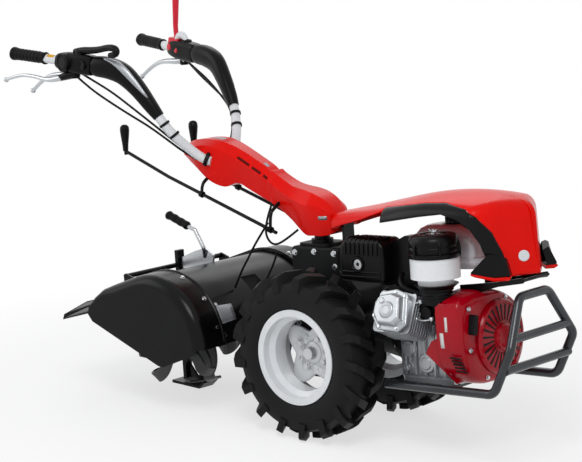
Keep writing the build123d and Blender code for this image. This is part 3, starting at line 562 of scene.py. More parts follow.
# %% The column and the rod guides
column_sections = [
    (-8, (388, 14), (384, 20), (378, 20), (356, 12)), (-24, (414, 24), (404, 42), (392, 44), (336, 36)),
    (-52, (439, 32), (420, 56), (394, 59), (330, 48)), (-86, (456, 36), (426, 62), (396, 63), (330, 53)),
    (-120, (466, 36), (426, 60), (396, 60), (334, 52)), (-184, (480, 28), (450, 52), (420, 47), (376, 38)),
    (-239, (508, 24), (478, 47), (450, 42), (411, 34)),
    (-262, (523, 25), (495, 48), (466, 43), (421, 34)), (-268, (519, 21), (492, 42), (465, 38), (424, 31)),
    (-292, (536, 22), (507, 45), (478, 40), (434, 32)),
    (-346, (565, 22), (536, 45), (505, 41), (459, 34)), (-399, (591, 24), (564, 48), (530, 45), (482, 37)),
    (-450, (610, 30), (588, 58), (548, 58), (470, 44)), (-500, (619, 36), (603, 72), (562, 78), (490, 58)),
    (-560, (618, 36), (597, 74), (568, 76), (534, 56)), (-600, (608, 30), (588, 60), (572, 62), (558, 46)),
    (-620, (596, 20), (588, 36), (580, 38), (573, 28))]
corners = [[Vector((x, side * steps[k][1], steps[k][0])) for x, *steps in column_sections]
           for side, k in ((1, 0), (1, 1), (1, 2), (1, 3), (-1, 3), (-1, 2), (-1, 1), (-1, 0))]
column_rings = list(zip(*[flowing(line, 5) for line in corners]))
column = bmesh.new()
skinned(column, column_rings)
column_piece = finish_piece("column_hood", "handlebar", "bright_red", column, sharp=30)
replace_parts(column_piece, "handlebar_column")
rounded_edges(column_piece, 6.0, 3, 22.0)

guides = bmesh.new()
for side, x, z, drop in ((-1, -230, 348, 78), (1, -230, 348, 78), (-1, -512, 450, 58), (1, -512, 451, 58)):
    top = z + drop
    bent_rod(guides, on_side([(x, 34, top), (x, 58, top - 12), (x, 84, top - 30), (x, 85, z - 2)], side),
             [6, 6, 5, 5])
    turned(guides, (x, side * 85, z), (-0.94, 0, 0.34),
           [(7.5, -7), (10.5, -6), (10.5, 6), (7.5, 7), (7.5, -7)], 20)
finish_piece("rod_guides", "handlebar", "black_plastic", guides)

# %% [markdown]
# The handles carry padded covers that swell over the bend, boxes for the controls with round caps, ribbed
# grips and bright hand levers. Each is a skin of oval or squarish rings along the tube.

# %% Covers, boxes, grips and levers
cover_line = [(-590, -172, 704, 18, 18), (-610, -182, 736, 21, 22), (-650, -197, 795, 24, 28),
              (-692, -212, 841, 26, 34), (-740, -223, 862, 27, 35), (-786, -232, 870, 26, 33),
              (-806, -236, 873, 22, 27)]
box_line = [(-800, -235, 872, 23, 28), (-806, -236, 873, 25, 32), (-850, -245, 880, 26, 33),
            (-900, -253, 888, 25, 31), (-930, -258, 892, 21, 25), (-940, -260, 894, 17, 18)]
grip_line = [(-984, -268, 901, 17, 17), (-986, -268, 901, 20, 20), (-991, -269, 902, 20, 20),
             (-995, -270, 903, 18, 18), (-1030, -276, 908, 19, 19), (-1070, -283, 914, 18.5, 18.5),
             (-1098, -288, 918, 20, 20), (-1110, -290, 920, 22, 22), (-1117, -291, 921, 19, 19),
             (-1119, -292, 922, 10, 10)]
covers, boxes, grips = bmesh.new(), bmesh.new(), bmesh.new()
tapered(covers, cover_line, 2.4)
tapered(boxes, box_line, 4.0)
turned(boxes, (-896, -276, 887), (-0.17, -1, 0),
       [(0, 8), (20, 8), (22, 6), (24, 6), (25, 9), (30, 8), (31, 4), (31, -12), (0, -12)])
turned(boxes, (-820, -266, 876), (-0.17, -1, 0), [(0, 5), (12, 5), (14, 3), (14, -10), (0, -10)])
turned(boxes, (-850, -245, 914), (0, 0, 1), [(0, 6), (9, 6), (16, 3), (18, -8), (0, -8)])
turned(boxes, (-874, -250, 848), (0, 0, 1), [(0, -14), (13, -14), (16, -8), (16, 8), (0, 8)])
tapered(grips, grip_line, 2.0, steps=3)
for k in range(7):
    middle = Vector((-1012, -273.3, 905.6)).lerp(Vector((-1090, -286.6, 916.8)), k / 6)
    turned(grips, middle, (-0.97, -0.17, 0.14),
           [(17.5, -4), (19.2, -2.5), (19.7, 0), (19.2, 2.5), (17.5, 4)])
for shape, name, slot, old in ((covers, "padded_covers", "black_plastic", "handle_covers"),
                               (boxes, "control_boxes", "black_plastic", "control_housings"),
                               (grips, "ribbed_grips", "grip_rubber", "grips")):
    mirrored(shape)
    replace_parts(finish_piece(name, "handlebar", slot, shape, sharp=40), old)

levers = bmesh.new()
clutch_line = [(-868, -252, 850), (-905, -262, 842), (-953, -276, 832), (-985, -282, 834),
               (-1020, -284, 843),
               (-1073, -286, 850), (-1120, -286, 846), (-1166, -286, 835)]
brake_line = [(-864, -246, 852), (-900, -246, 846), (-945, -247, 848), (-990, -250, 845),
              (-1028, -250, 829),
              (-1058, -250, 811), (-1080, -250, 796)]
for line, sides in ((clutch_line, (1,)), (brake_line, (1, -1))):
    for side in sides:
        rod = on_side(line, side)
        bent_rod(levers, rod, [12, 11, 9, 7.5, 6.5, 6, 6, 5.5][:len(rod)])
        turned(levers, rod[-1], (1, 0, 0), [on_circle(9, 18 * k - 90) for k in range(11)], 20)
lever_piece = finish_piece("bright_levers", "handlebar", "bright_steel", levers, sharp=60)
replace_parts(lever_piece, "hand_levers")

knobs = bmesh.new()
for x, y, z in ((-841, -85, 610), (-696, 85, 606)):
    turned(knobs, (x, y, z - 4), (0.03, 0, 1),
           [(0, -24), (8, -24), (9, -20), (10, -4), (14, 28), (15.5, 44), (14.5, 54), (9, 61), (0, 63)])
    bent_rod(knobs, [(x, y, z - 40), (x, y, z - 4)], [6, 6])
knob_piece = finish_piece("tapered_knobs", "handlebar", "black_plastic", knobs, sharp=50)
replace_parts(knob_piece, "rod_knobs")

tubes, throttle, safety, cap, straps = (bmesh.new() for _ in range(5))
tube_line = [(-478, -66, 553), (-500, -76, 562), (-524, -100, 588), (-548, -134, 628), (-568, -156, 662),
             (-588, -172, 700), (-640, -192, 777), (-674, -205, 829), (-700, -214, 850), (-740, -223, 862),
             (-800, -235, 872), (-900, -253, 888), (-1000, -271, 903), (-1106, -290, 920)]
tapered(tubes, [(x, y, z, 15, 15) for x, y, z in tube_line], steps=5)
mirrored(tubes)
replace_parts(finish_piece("bent_tubes", "handlebar", "white_paint", tubes, sharp=60), "handle_tubes")
bent_rod(throttle, [(-866, -250, 853), (-900, -260, 844), (-944, -272, 834)], [17, 14, 9])
bent_rod(throttle, [(-868, -248, 918), (-838, -247, 922), (-800, -246, 921), (-760, -245, 923),
                    (-722, -245, 929), (-692, -245, 927), (-682, -245, 916), (-694, -245, 904),
                    (-716, -245, 905)], [11, 12, 11.5, 10.5, 10.5, 11.5, 12, 11, 8])
turned(throttle, (-850, -247, 900), (0, 0, 1), [(0, 30), (8, 30), (12, 26), (14, 10), (14, 0), (0, 0)])
throttle_piece = finish_piece("hooked_throttle", "handlebar", "black_plastic", throttle, sharp=60)
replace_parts(throttle_piece, "throttle_lever")
bent_rod(safety, [(-906, 256, 920), (-912, 257, 950), (-908, 259, 1000), (-902, 262, 1094)],
         [9, 8, 10, 12.5])
slab(safety, [(-934, 238, 906), (-884, 230, 900), (-878, 262, 902), (-930, 274, 908)], (4, 2, 22))
for x, y, z, r in ((-926, 240, 896, 13), (-886, 232, 884, 11), (-908, 246, 872, 10)):
    turned(safety, (x, y, z), (-0.3, -1, 0.2), [(0, 8), (r * 0.7, 8), (r, 4), (r, -8), (0, -8)], 20)
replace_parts(finish_piece("red_safety_lever", "handlebar", "safety_red", safety, sharp=40), "safety_lever")
bent_rod(cap, [(-896, 244, 916), (-884, 242, 934), (-862, 241, 936), (-846, 240, 916)], [9, 12, 12, 8])
finish_piece("pale_cap", "handlebar", "band_white", cap, sharp=60)
for x, y, z, way in ((-556, -144, 644, (-28, -26, 54)), (-576, -164, 680, (-18, -14, 36))):
    turned(straps, (x, y, z), way, [(15.4, -4), (18, -4), (18.4, 0), (18, 4), (15.4, 4), (15.4, -4)])
turned(straps, (-492, -72, 560), (-22, -16, 12),
       [(15.2, -6), (22, -6), (24, 0), (22, 6), (15.2, 6), (15.2, -6)])
mirrored(straps)
finish_piece("tube_straps", "handlebar", "black_plastic", straps, sharp=50)

# %% [markdown]
# Thin plates lie on these covers: a silver inlay on each handle, three dark red plates of painted shade
# for the slots in the column's roof, and blank plates where a real machine carries its labels. The depth
# lever gets a ribbed grip.

# %% Inlays, slots and blank plates
silver = surface("brushed_silver_inlay", "#A9ACB0", "#8E9296", 0.34, 1.4, 0.02, metallic=0.5)
slot_shadow = surface("slot_shadow", "#5C0703", "#4A0502", 0.5, 1.2, 0.01, shine=0.1)
blank_label = surface("blank_label", "#D9D9D6", "#CBCBC8", 0.45, 1.2, 0.005, shine=0.3)
inlay_top = [(-756, -226, 884), (-730, -221, 886), (-700, -214, 877), (-672, -206, 850), (-644, -197, 812),
             (-612, -184, 758)]
inlay_low = [(-750, -226, 878), (-728, -221, 866), (-706, -214, 846), (-682, -206, 820), (-654, -197, 790),
             (-616, -184, 752)]
for side, hand in ((1, "right"), (-1, "left")):
    laid(f"inlay_{hand}", "handlebar", "cast_aluminium", "padded_covers",
         on_side(inlay_top, side), on_side(inlay_low, side), (-0.35, side * 0.75, -0.55), material=silver)
# Each roof slot is a dark red plate of painted shade: it stands for the shadow inside the slot.
for k, (x, z, end_x, end_z) in enumerate(((-388, 552, -342, 529), (-331, 523, -296, 505),
                                          (-286, 500, -272, 492))):
    laid(f"roof_slot_{k}", "handlebar", "bright_red", "column_hood",
         [(x, -38, z + 14), (end_x, -38, end_z + 14)], [(x, -44, z + 8), (end_x, -44, end_z + 8)],
         (0, 0.55, -0.83), rows=2, columns=6, material=slot_shadow)
badge_arc = [on_circle(16, 8 + 164 * k / 20) for k in range(21)]
laid("nose_badge", "bonnet_lid", "white_paint", "bonnet_shell",
     [(720, -46 + across, 304 + above) for across, above in badge_arc],
     [(720, -46 + across, 304 - above) for across, above in badge_arc], (-1, 0.2, 0), lift=1.8,
     columns=20, rows=8)
laid("column_badge_front", "handlebar", "cast_aluminium", "column_hood", [(-56, -60, 392), (-30, -60, 392)],
     [(-56, -60, 380), (-30, -60, 380)], (0, 1, 0), rows=2, columns=4, material=silver)
laid("column_badge_middle", "handlebar", "cast_aluminium", "column_hood",
     [(-306, -2, 540), (-288, -2, 532)],
     [(-306, -16, 540), (-288, -16, 532)], (0, 0, -1), rows=2, columns=4, material=silver)
laid("column_badge_top", "handlebar", "cast_aluminium", "column_hood", [(-520, 12, 630), (-474, 12, 630)],
     [(-520, -14, 630), (-474, -14, 630)], (0, 0, -1), rows=3, columns=6, material=silver)
laid("hood_plate", "chassis", "cast_aluminium", "tiller_hood", [(-360, -222, 125), (-356, -146, 122)],
     [(-335, -222, 70), (-336, -150, 74)], (-0.9, 0, -0.4), rows=4, columns=4, material=silver)

sticker = surface("blank_yellow_label", "#E3AE14", "#D79F0C", 0.4, 1.2, 0.005, shine=0.3)
laid("tube_label", "handlebar", "safety_red", "bent_tubes", [(-972, -266, 912), (-946, -261, 908)],
     [(-972, -274, 902), (-946, -269, 898)], (0, 0.7, -0.7), rows=4, columns=4, material=sticker)
depth_handle = bmesh.new()
tapered(depth_handle, [(-646, -20, 332, 11, 11), (-652, -20, 335, 14, 14), (-664, -21, 341, 12.5, 12.5),
                       (-676, -22, 346, 14, 14), (-688, -23, 351, 12.5, 12.5), (-700, -24, 357, 14, 14),
                       (-712, -25, 362, 12.5, 12.5), (-724, -26, 367, 15, 15), (-730, -26, 370, 11, 11)],
        steps=3)
depth_piece = finish_piece("ribbed_depth_grip", "chassis", "grip_rubber", depth_handle, sharp=50)
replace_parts(depth_piece, "depth_grip")

# %% [markdown]
# ## Tiller sheets
# Each side cover wraps over the hood's end, with a rounded shoulder down to its flat side, and reaches back
# in a tail. The rear flap hangs behind, as wide as the covers.

# %% Side covers and flap
rotor_x = -541
rotor_z = 7
rotor_axle = Vector((rotor_x, rotor_z))
cover_wrap = [rotor_axle + Vector(on_circle(220, a)) for a in range(0, 107, 5)]
cover_wrap += [Vector(p) for p in ((-606, 217.2), (-650, 203.5), (-700, 188), (-742, 172), (-776, 146),
                                   (-806, 112))]
sheets = bmesh.new()
wrap_rows = []
for i, spot in enumerate(cover_wrap):
    ahead = cover_wrap[min(i + 1, len(cover_wrap) - 1)] - cover_wrap[max(i - 1, 0)]
    inward = Vector((-ahead.y, ahead.x)).normalized()
    round_by = 36 if i < len(cover_wrap) - 3 else (26, 16, 6)[i - len(cover_wrap) + 3]
    row = [(-226, -1.5), (-226, -4), (-232, -4), (-235, -1), (-238, 0)]
    for turn in range(0, 91, 15):
        level, aside = on_circle(round_by, turn)
        row.append((-340 + round_by - aside, round_by - level))
    wrap_rows.append([Vector((spot.x + inward.x * d, y, spot.y + inward.y * d)) for y, d in row])
skinned(sheets, wrap_rows, closed=False)
plate_edge = [row[-1] for row in wrap_rows] + [Vector((x, -340, z)) for x, z in (
    (-808, 92), (-789, 68), (-506, -54), (-484, -56), (-330, -2))]
sheets.faces.new([sheets.verts.new(point) for point in plate_edge])
mirrored(sheets)
cover_piece = finish_piece("wrapped_side_covers", "chassis", "satin_black", sheets, sharp=32)
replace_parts(cover_piece, "side_covers")
thickened(cover_piece, 3.5)
flat = cover_piece.modifiers.new("flat_faces", "WEIGHTED_NORMAL")
flat.keep_sharp = True
flat.weight = 100

apron = bmesh.new()
slab(apron, [(-739, -208, 161), (-765, -208, 152), (-812, -208, 131), (-814, -334, 130), (-925, -334, 81),
             (-932, -334, 66), (-932, 334, 66), (-925, 334, 81), (-814, 334, 130), (-812, 208, 131),
             (-765, 208, 152), (-739, 208, 161)], (-1.4, 0, -3.2))
for y in (-150, -50, 50, 150):
    turned(apron, (-739, y, 160), (0, 1, 0), [(0, -25), (9, -25), (10, -24), (10, 24), (9, 25), (0, 25)])
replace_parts(finish_piece("wide_flap", "flap", "satin_black", apron, sharp=30), "rear_flap")

# %% [markdown]
# ## Wheel discs and rotor
# Each wheel disc is a pressed star with four arms that reach the rim. The rotor's tines are forged blades
# that bend sideways at the tip, left and right in turn.

# %% Wheel stars and rotor
star_steel = surface("zinc_plated_disc", "#C9CBCD", "#AFB2B5", 0.28, 2.2, 0.04, metallic=0.75)


def star_reach(turn):
    """How far the star reaches at an angle in degrees: four arms with hollows between them."""
    wave = 0.5 + 0.5 * math.cos(math.radians(4 * (turn - 52)))
    return 66 + 44 * wave ** 0.9


for side, hand in ((-1, "right"), (1, "left")):
    star = bmesh.new()
    star_rings = []
    for share, lift in ((1.0, -2.5), (1.0, 3.5), (0.96, 5), (0.78, 3), (0.66, 0), (0.56, 0), (0.5, 2)):
        outline = [on_circle(share * star_reach(turn), turn) for turn in (3.75 * k for k in range(96))]
        star_rings.append([(x, side * (185 + lift), z) for x, z in outline])
    skinned(star, star_rings)
    turned(star, (0, side * 186, 0), (0, side, 0),
           [(0, -2), (34, -2), (34, 3), (30, 5), (20, 6), (18, 10), (17, 22), (10, 23), (9, 20), (0, 20)],
           40)
    for k in range(4):
        x, z = on_circle(60, 15 + 90 * k)
        turned(star, (x, side * 184, z), (0, side, 0),
               [(0, 1), (7, 1), (7, 4.4), (9, 4.4), (10, 0), (0, 0)], 20)
    piece = finish_piece(f"wheel_star_{hand}", f"wheel_{hand}", "white_paint", star, star_steel, sharp=24)
    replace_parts(piece, f"wheel_disc_{hand}")


def blade(shape, turn, start, hand):
    """One tine: a bent blade from its flange out to its foot, which lies sideways."""
    spots = [(26, 0, 0, 46), (62, -2, 0, 44), (98, -8, 0, 40), (126, -16, 2, 38), (143, -23, 8, 38),
             (151, -28, 22, 38), (153, -31, 42, 36), (153, -33, 66, 28)]
    line = flowing([(r, math.radians(a), y, w) for r, a, y, w in spots], 4)
    frames = []
    for r, a, y, w in line:
        angle = math.radians(turn) + a
        spot = Vector((rotor_x + r * math.cos(angle), start + hand * y, rotor_z + r * math.sin(angle)))
        frames.append((spot, Vector((-math.sin(angle), 0, math.cos(angle))), w))
    rings = []
    for i, (spot, wide, w) in enumerate(frames):
        ahead = frames[min(i + 1, len(frames) - 1)][0] - frames[max(i - 1, 0)][0]
        wide = (wide - ahead.normalized() * wide.dot(ahead.normalized())).normalized()
        thin = ahead.cross(wide).normalized()
        section = ((1, 2), (0.9, 4.5), (-0.9, 4.5), (-1, 1), (-1, -1), (-0.9, -4.5), (0.9, -4.5), (1, -2))
        rings.append([spot + wide * w / 2 * share + thin * half for share, half in section])
    skinned(shape, rings)


rotor = bmesh.new()
turned(rotor, (rotor_x, 0, rotor_z), (0, 1, 0), [(0, -270), (17, -270), (17, 270), (0, 270)])
flange_places = (78, 168, 258)
for side in (-1, 1):
    turned(rotor, (rotor_x, side * 56, rotor_z), (0, side, 0), [(0, 0), (25, 0), (25, 202), (0, 202)])
    for row, spot in enumerate(flange_places):
        turned(rotor, (rotor_x, side * spot, rotor_z), (0, side, 0),
               [(0, -4), (46, -4), (47, -3), (47, 3), (46, 4), (0, 4)], 36)
        for number in range(4):
            turn = number * 90 + row * 30 + (22 if side < 0 else 66)
            hand = side * (1, (-1) ** number, -1)[row]
            blade(rotor, turn, side * spot + hand * 8, hand)
rotor_piece = finish_piece("bladed_rotor", "rotor", "tine_steel", rotor, sharp=30)
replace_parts(rotor_piece, "tine_rotor")

# %% [markdown]
# ## Engine
# The silencer is a pressed box with louvres and a bright outlet. The valve cover is a domed casting on its
# flange, and the air cleaner's lid is a turned cap with a wing nut.

# %% Silencer, valve cover and air cleaner
silencer = bmesh.new()
slab(silencer, [(88, -140, 214), (88, -140, 322), (106, -140, 342), (236, -140, 342), (254, -140, 322),
                (254, -140, 214)], (0, 104, 0))
box = finish_piece("silencer_box", "chassis", "black_plastic", silencer, sharp=40)
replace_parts(box, "silencer")
rounded_edges(box, 12.0, 4)
louvres = bmesh.new()
for k in range(8):
    x = 112 + k * 17
    bent_rod(louvres, [(x, -141, 296), (x, -142, 322), (x + 2, -136, 340), (x + 4, -110, 344),
                       (x + 6, -80, 344)], [3.2, 4, 4.2, 4, 3])
for z in (232, 246):
    bent_rod(louvres, [(98, -141, z), (166, -142, z), (242, -141, z)], [2.5, 3, 2.5])
turned(louvres, (157, -140, 268), (0, -1, 0),
       [(20, -6), (24, -4), (25, 2), (22, 6), (18, 6), (17, -4), (20, -6)])
finish_piece("silencer_louvres", "chassis", "satin_black", louvres, sharp=50)
outlet = bmesh.new()
turned(outlet, (157, -138, 268), (0, -1, 0),
       [(0, 1), (5, 1), (6, 3), (15, 3), (16.5, 1), (16.5, -4), (0, -4)])
finish_piece("outlet_disc", "chassis", "bright_steel", outlet)

lean = math.radians(25)
head_out = Vector((0, -math.cos(lean), math.sin(lean)))
head_up = Vector((0, math.sin(lean), math.cos(lean)))
crank_z = 58
head_foot = Vector((322, 0, crank_z)) + head_out * 214


def on_head(u, v, w=0.0):
    """A place on the cylinder head: along the machine, across the head, and out from its face."""
    return tuple(head_foot + Vector((u, 0, 0)) + head_up * v + head_out * w)


flange = [(-62, -20), (-34, -56), (38, -58), (62, -34), (46, 50), (6, 62), (-44, 52), (-62, 20)]
casting = bmesh.new()
skinned(casting, [[on_head(u * s, v * s, w) for u, v in flange] for s, w in (
    (1.0, 0), (1.04, 1), (1.04, 7), (1.0, 9), (0.84, 10), (0.81, 12), (0.76, 26), (0.68, 31))])
turned(casting, on_head(2, -4, 28), head_out, [(26, 0), (25, 4), (22, 8), (14, 10), (12, 8.5), (0, 8)])
turned(casting, on_head(-22, 22, 28), head_out, [(9, 0), (9, 5), (7, 7), (0, 7)])
valve = finish_piece("domed_valve_cover", "chassis", "cast_aluminium", casting, sharp=28)
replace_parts(valve, "valve_cover")
rounded_edges(valve, 2.5, 3)

lid = bmesh.new()
cleaner_x = 446
cleaner_y = -142
turned(lid, (cleaner_x, cleaner_y, 0), (0, 0, 1),
       [(0, 306), (75, 306), (76, 308), (76, 318), (73, 320), (71, 321), (72.5, 323), (72.5, 336),
        (71.4, 338),
        (72.5, 340), (72.2, 352), (70, 362), (64, 369), (54, 372), (40, 372), (38, 370), (24, 370),
        (22, 372),
        (0, 372)], 56)
for k in range(6):
    ridge = [(*on_circle(radius, 60 * k + 20), z) for radius,
             z in ((76, 312), (77, 330), (74, 350), (60, 369))]
    bent_rod(lid, [(cleaner_x + x, cleaner_y + y, z) for x, y, z in ridge], [3.5, 3, 3, 2])
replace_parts(finish_piece("turned_lid", "chassis", "black_plastic", lid, sharp=40), "air_cleaner_lid")
nut = bmesh.new()
turned(nut, (cleaner_x, cleaner_y, 370), (0, 0, 1),
       [(0, 0), (14, 0), (14, 2), (7, 3), (7, 9), (4, 10), (4, 15), (0, 15)])
for way in (-1, 1):
    bent_rod(nut, [(cleaner_x + way * reach, cleaner_y, z) for reach, z in ((0, 376), (8, 379), (15, 385))],
             [3, 3.4, 2.6])
finish_piece("wing_nut", "chassis", "bright_steel", nut)

# %% [markdown]
# The fan cover is a pressed shell that narrows to the round recoil starter, whose face shows a fan of
# slots as dark bars of painted shade. The tank is a squarish pressing with a seam all round and a ribbed cap.

# %% Fan cover, recoil starter and tank
shroud_edge = [(-60, -74), (-112, -58), (-152, -16), (-172, 40), (-178, 110), (-172, 176), (-120, 196),
               (-40, 200), (40, 184), (98, 148), (130, 96), (136, 30), (112, -34), (60, -74)]
shroud_line = flowing(shroud_edge + shroud_edge[:1], 4)[:-1]
hub = Vector((0, crank_z))


def shroud_ring(x, share, swell=0.0):
    """One ring of the fan cover: its full outline at 0, the recoil's circle at 1."""
    ring = []
    for point in shroud_line:
        out = (point - hub).normalized()
        spot = point.lerp(hub + out * 112, share) + out * swell
        ring.append((x, spot.x, spot.y))
    return ring


shroud = bmesh.new()
skinned(shroud, [shroud_ring(*ring) for ring in (
    (462, 0), (520, 0), (536, 0.04, -1), (546, 0.14, -3), (551, 0.34, -3), (553, 0.62), (554, 0.92))])
slab(shroud, [(464, -176, 178), (464, -176, 76), (432, -164, 62), (404, -158, 24), (488, -128, -66),
              (500, -120, -60), (500, -176, 60), (500, -177, 178)], (0, 50, 0))
shroud_piece = finish_piece("rounded_fan_cover", "chassis", "crimson", shroud, sharp=30)
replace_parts(shroud_piece, "fan_cover")
rounded_edges(shroud_piece, 4.0, 3, 28.0)
starter = bmesh.new()
fan_front = 554
turned(starter, (fan_front, 0, crank_z), (1, 0, 0),
       [(0, -2), (108, -2), (109, 6), (105, 12), (98, 14), (96, 11), (40, 15), (38, 22), (33, 26), (0, 26)],
       64)
starter_piece = finish_piece("recoil_drum", "chassis", "crimson", starter, sharp=30)
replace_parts(starter_piece, "recoil_starter")
slot_shade_bars = bmesh.new()
# The dark bars on the recoil's face are painted shade: they stand for the shadow inside its slots.
for k in range(26):
    c, n = on_circle(1, 360 * (k + 0.5) / 26)
    slab(slot_shade_bars, [(fan_front + h, r * c - w * n, crank_z + r * n + w * c) for r, h, w in
                 ((46, 15.2, 1.6), (46, 15.2, -1.6), (94, 11.8, -3.4), (94, 11.8, 3.4))], (0.9, 0, 0))
# Five more dark bars on the fan cover's side are painted shade for the shadow in its cooling slots.
for k in range(5):
    z = 26 - k * 11
    y = -160 + k * 7
    slab(slot_shade_bars, [(508, y - 16, z), (544, y - 13, z - 3), (544, y - 12, z - 8), (508, y - 15, z - 5)],
         (0, -3, 0))
finish_piece("cooling_slots", "chassis", "satin_black", slot_shade_bars, sharp=30)

for k, (x, z, wide, tall) in enumerate(((500, 118, 9, 42), (482, 70, 13, 44))):
    laid(f"cover_label_{k}", "chassis", "band_white", "rounded_fan_cover",
         [(x - wide / 2, -200, z + tall / 2), (x + wide / 2, -200, z + tall / 2)],
         [(x - wide / 2, -200, z - tall / 2), (x + wide / 2, -200, z - tall / 2)], (0, 1, 0), rows=3,
         columns=2,
         material=blank_label)

tank = bmesh.new()
tank_rings = []
for z, half_width, half_length, power in (
        (250, 60, 100, 3), (254, 80, 122, 3.4), (270, 88, 130, 3.6), (281, 89, 131, 3.6),
        (282, 92, 133, 3.6),
        (288, 92, 133, 3.6), (289, 89, 131, 3.6), (320, 88, 129, 3.4), (346, 82, 122, 3.2),
        (362, 72, 110, 3.0), (371, 56, 92, 2.8), (375, 34, 66, 2.6), (376, 8, 20, 2.2)):
    squarish = [squared(2 * math.pi * k / 48, power) for k in range(48)]
    tank_rings.append([(395 + c * half_length, 36 + n * half_width, z) for c, n in squarish])
skinned(tank, tank_rings)
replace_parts(finish_piece("pressed_tank", "chassis", "tank_white", tank, sharp=40), "fuel_tank")
cap = bmesh.new()
turned(cap, (392, 40, 370), (0, 0, 1), [(0, 0), (36, 0), (36, 6), (31, 8), (31, 22), (27, 28), (0, 28)], 40)
for k in range(16):
    x, y = on_circle(31, 22.5 * k)
    bent_rod(cap, [(392 + x, 40 + y, 379), (392 + x, 40 + y, 394)], [2.4, 2.4])
finish_piece("ribbed_cap", "chassis", "black_plastic", cap, sharp=40)

# %% [markdown]
# Black ducts lead the cooling air past the cylinder and the intake up to the air cleaner. The governor's
# rods run beside them, and the crankcase has round bosses and upright ribs.

# %% Ducts, rods and bosses around the engine
ducts = bmesh.new()
turned(ducts, (cleaner_x, cleaner_y, 0), (0, 0, 1),
       [(0, 170), (42, 170), (46, 176), (46, 190), (50, 192), (50, 197), (46, 199), (46, 208), (50, 210),
        (50, 215), (58, 222), (66, 228), (0, 228)], 40)
slab(ducts, [(254, -58, 206), (254, -58, 330), (300, -58, 352), (384, -58, 352), (384, -58, 206)],
     (0, -34, 0))
slab(ducts, [(252, -150, 150), (252, -150, 214), (330, -150, 214), (346, -150, 196), (346, -150, 150)],
     (0, 60, 0))
slab(ducts, [(396, -158, 120), (396, -158, 166), (452, -158, 172), (460, -158, 120)], (0, 54, 0))
turned(ducts, (424, -164, 146), (0, -1, 0), [(0, 6), (17, 6), (19, 3), (19, -10), (0, -10)])
bent_rod(ducts, [(392, -150, 196), (350, -158, 204), (318, -150, 226), (306, -120, 246)], [9, 9, 9, 9])
bent_rod(ducts, [(262, -130, 150), (250, -146, 176), (262, -150, 206), (300, -140, 214)], [5, 5, 5, 5])
duct_piece = finish_piece("black_ducts", "chassis", "black_plastic", ducts, sharp=35)
rounded_edges(duct_piece, 4.0, 2, 40.0)
links = bmesh.new()
bent_rod(links, [(404, -166, 176), (372, -172, 168), (352, -170, 148), (330, -160, 132)], [2.4] * 4)
bent_rod(links, [(440, -166, 128), (410, -170, 118), (386, -168, 126)], [2.2, 2.2, 2.2])
for x, z, r in ((404, 176, 6), (330, 132, 5), (440, 128, 6), (386, 126, 5), (356, 108, 9)):
    turned(links, (x, -166, z), (0, -1, 0), [(0, 5), (r * 0.6, 5), (r, 3), (r, -5), (0, -5)], 18)
for x, z, r, h in ((300, 20, 24, 14), (362, -20, 30, 10), (420, 60, 18, 16), (440, -30, 14, 12),
                   (286, -40, 12, 12)):
    turned(links, (x, -96, z), (0, -1, 0),
           [(0, h), (r * 0.55, h), (r * 0.62, h - 3), (r * 0.9, h - 3), (r, h - 6), (r, -3), (0, -3)])
for k in range(5):
    x = 284 + k * 36
    slab(links, [(x - 2.5, -95, -58), (x + 2.5, -95, -58), (x + 2.5, -95, 96), (x - 2.5, -95, 96)],
         (0, -7, 0))
finish_piece("bosses_and_links", "chassis", "cast_aluminium", links, sharp=35)

# %% [markdown]
# ## Cables
# A pair of control cables leaves the boxes on each handle, bows out under the tube and goes into the
# column's fork. One more hangs in a loop under the column's foot, and two run down to the tiller. Each is
# one smooth spline of fixed length.

# %% Control cables
cable_run = [(-862, -257, 842), (-812, -251, 803), (-742, -240, 760), (-668, -224, 716), (-604, -203, 676),
             (-568, -160, 628), (-548, -108, 582), (-528, -58, 548)]
loop_run = [(-264, -28, 428), (-284, -38, 378), (-284, -52, 322), (-244, -60, 292), (-194, -56, 314),
            (-152, -46, 345)]
hood_run = [(-222, -104, 372), (-252, -103, 338), (-286, -101, 300), (-320, -98, 256), (-354, -98, 212),
            (-384, -98, 160)]
case_run = [(-194, -100, 284), (-206, -98, 262), (-220, -98, 236), (-240, -99, 206), (-266, -104, 164),
            (-300, -104, 112)]
upper_run = [(-850, -240, 846), (-806, -232, 822), (-742, -220, 786), (-676, -206, 738), (-616, -188, 690),
             (-578, -150, 640), (-552, -104, 592), (-530, -58, 556)]


def cable(name, run, body="handlebar"):
    """A control cable along a run of places, held by the object at both ends."""
    curve = bpy.data.curves.new(name, "CURVE")
    curve.dimensions = "3D"
    curve.bevel_depth = 0.0035
    curve.bevel_resolution = 4
    curve.use_fill_caps = True
    curve.resolution_u = 16
    spline = curve.splines.new("NURBS")
    spline.points.add(len(run) - 1)
    for control, point in zip(spline.points, run):
        control.co = (*place(*point), 1.0)
    spline.order_u = 3
    spline.use_endpoint_u = True
    curve.materials.append(finishes["grip_rubber"])
    piece = bpy.data.objects.new(name, curve)
    bpy.context.scene.collection.objects.link(piece)
    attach(piece, body)


cable("cable_right", cable_run)
cable("cable_left", on_side(cable_run, -1))
cable("cable_loop", loop_run)
cable("hood_cable", hood_run, "chassis")
cable("case_cable", case_run, "chassis")
cable("upper_cable_right", upper_run)
cable("upper_cable_left", on_side(upper_run, -1))

# %% [markdown]
# ## Bolts
# A machine like this is held together by dozens of hexagon bolts with washers. One Geometry Nodes tree puts
# the same bolt on every marked point: each point keeps the direction it faces and its own size.

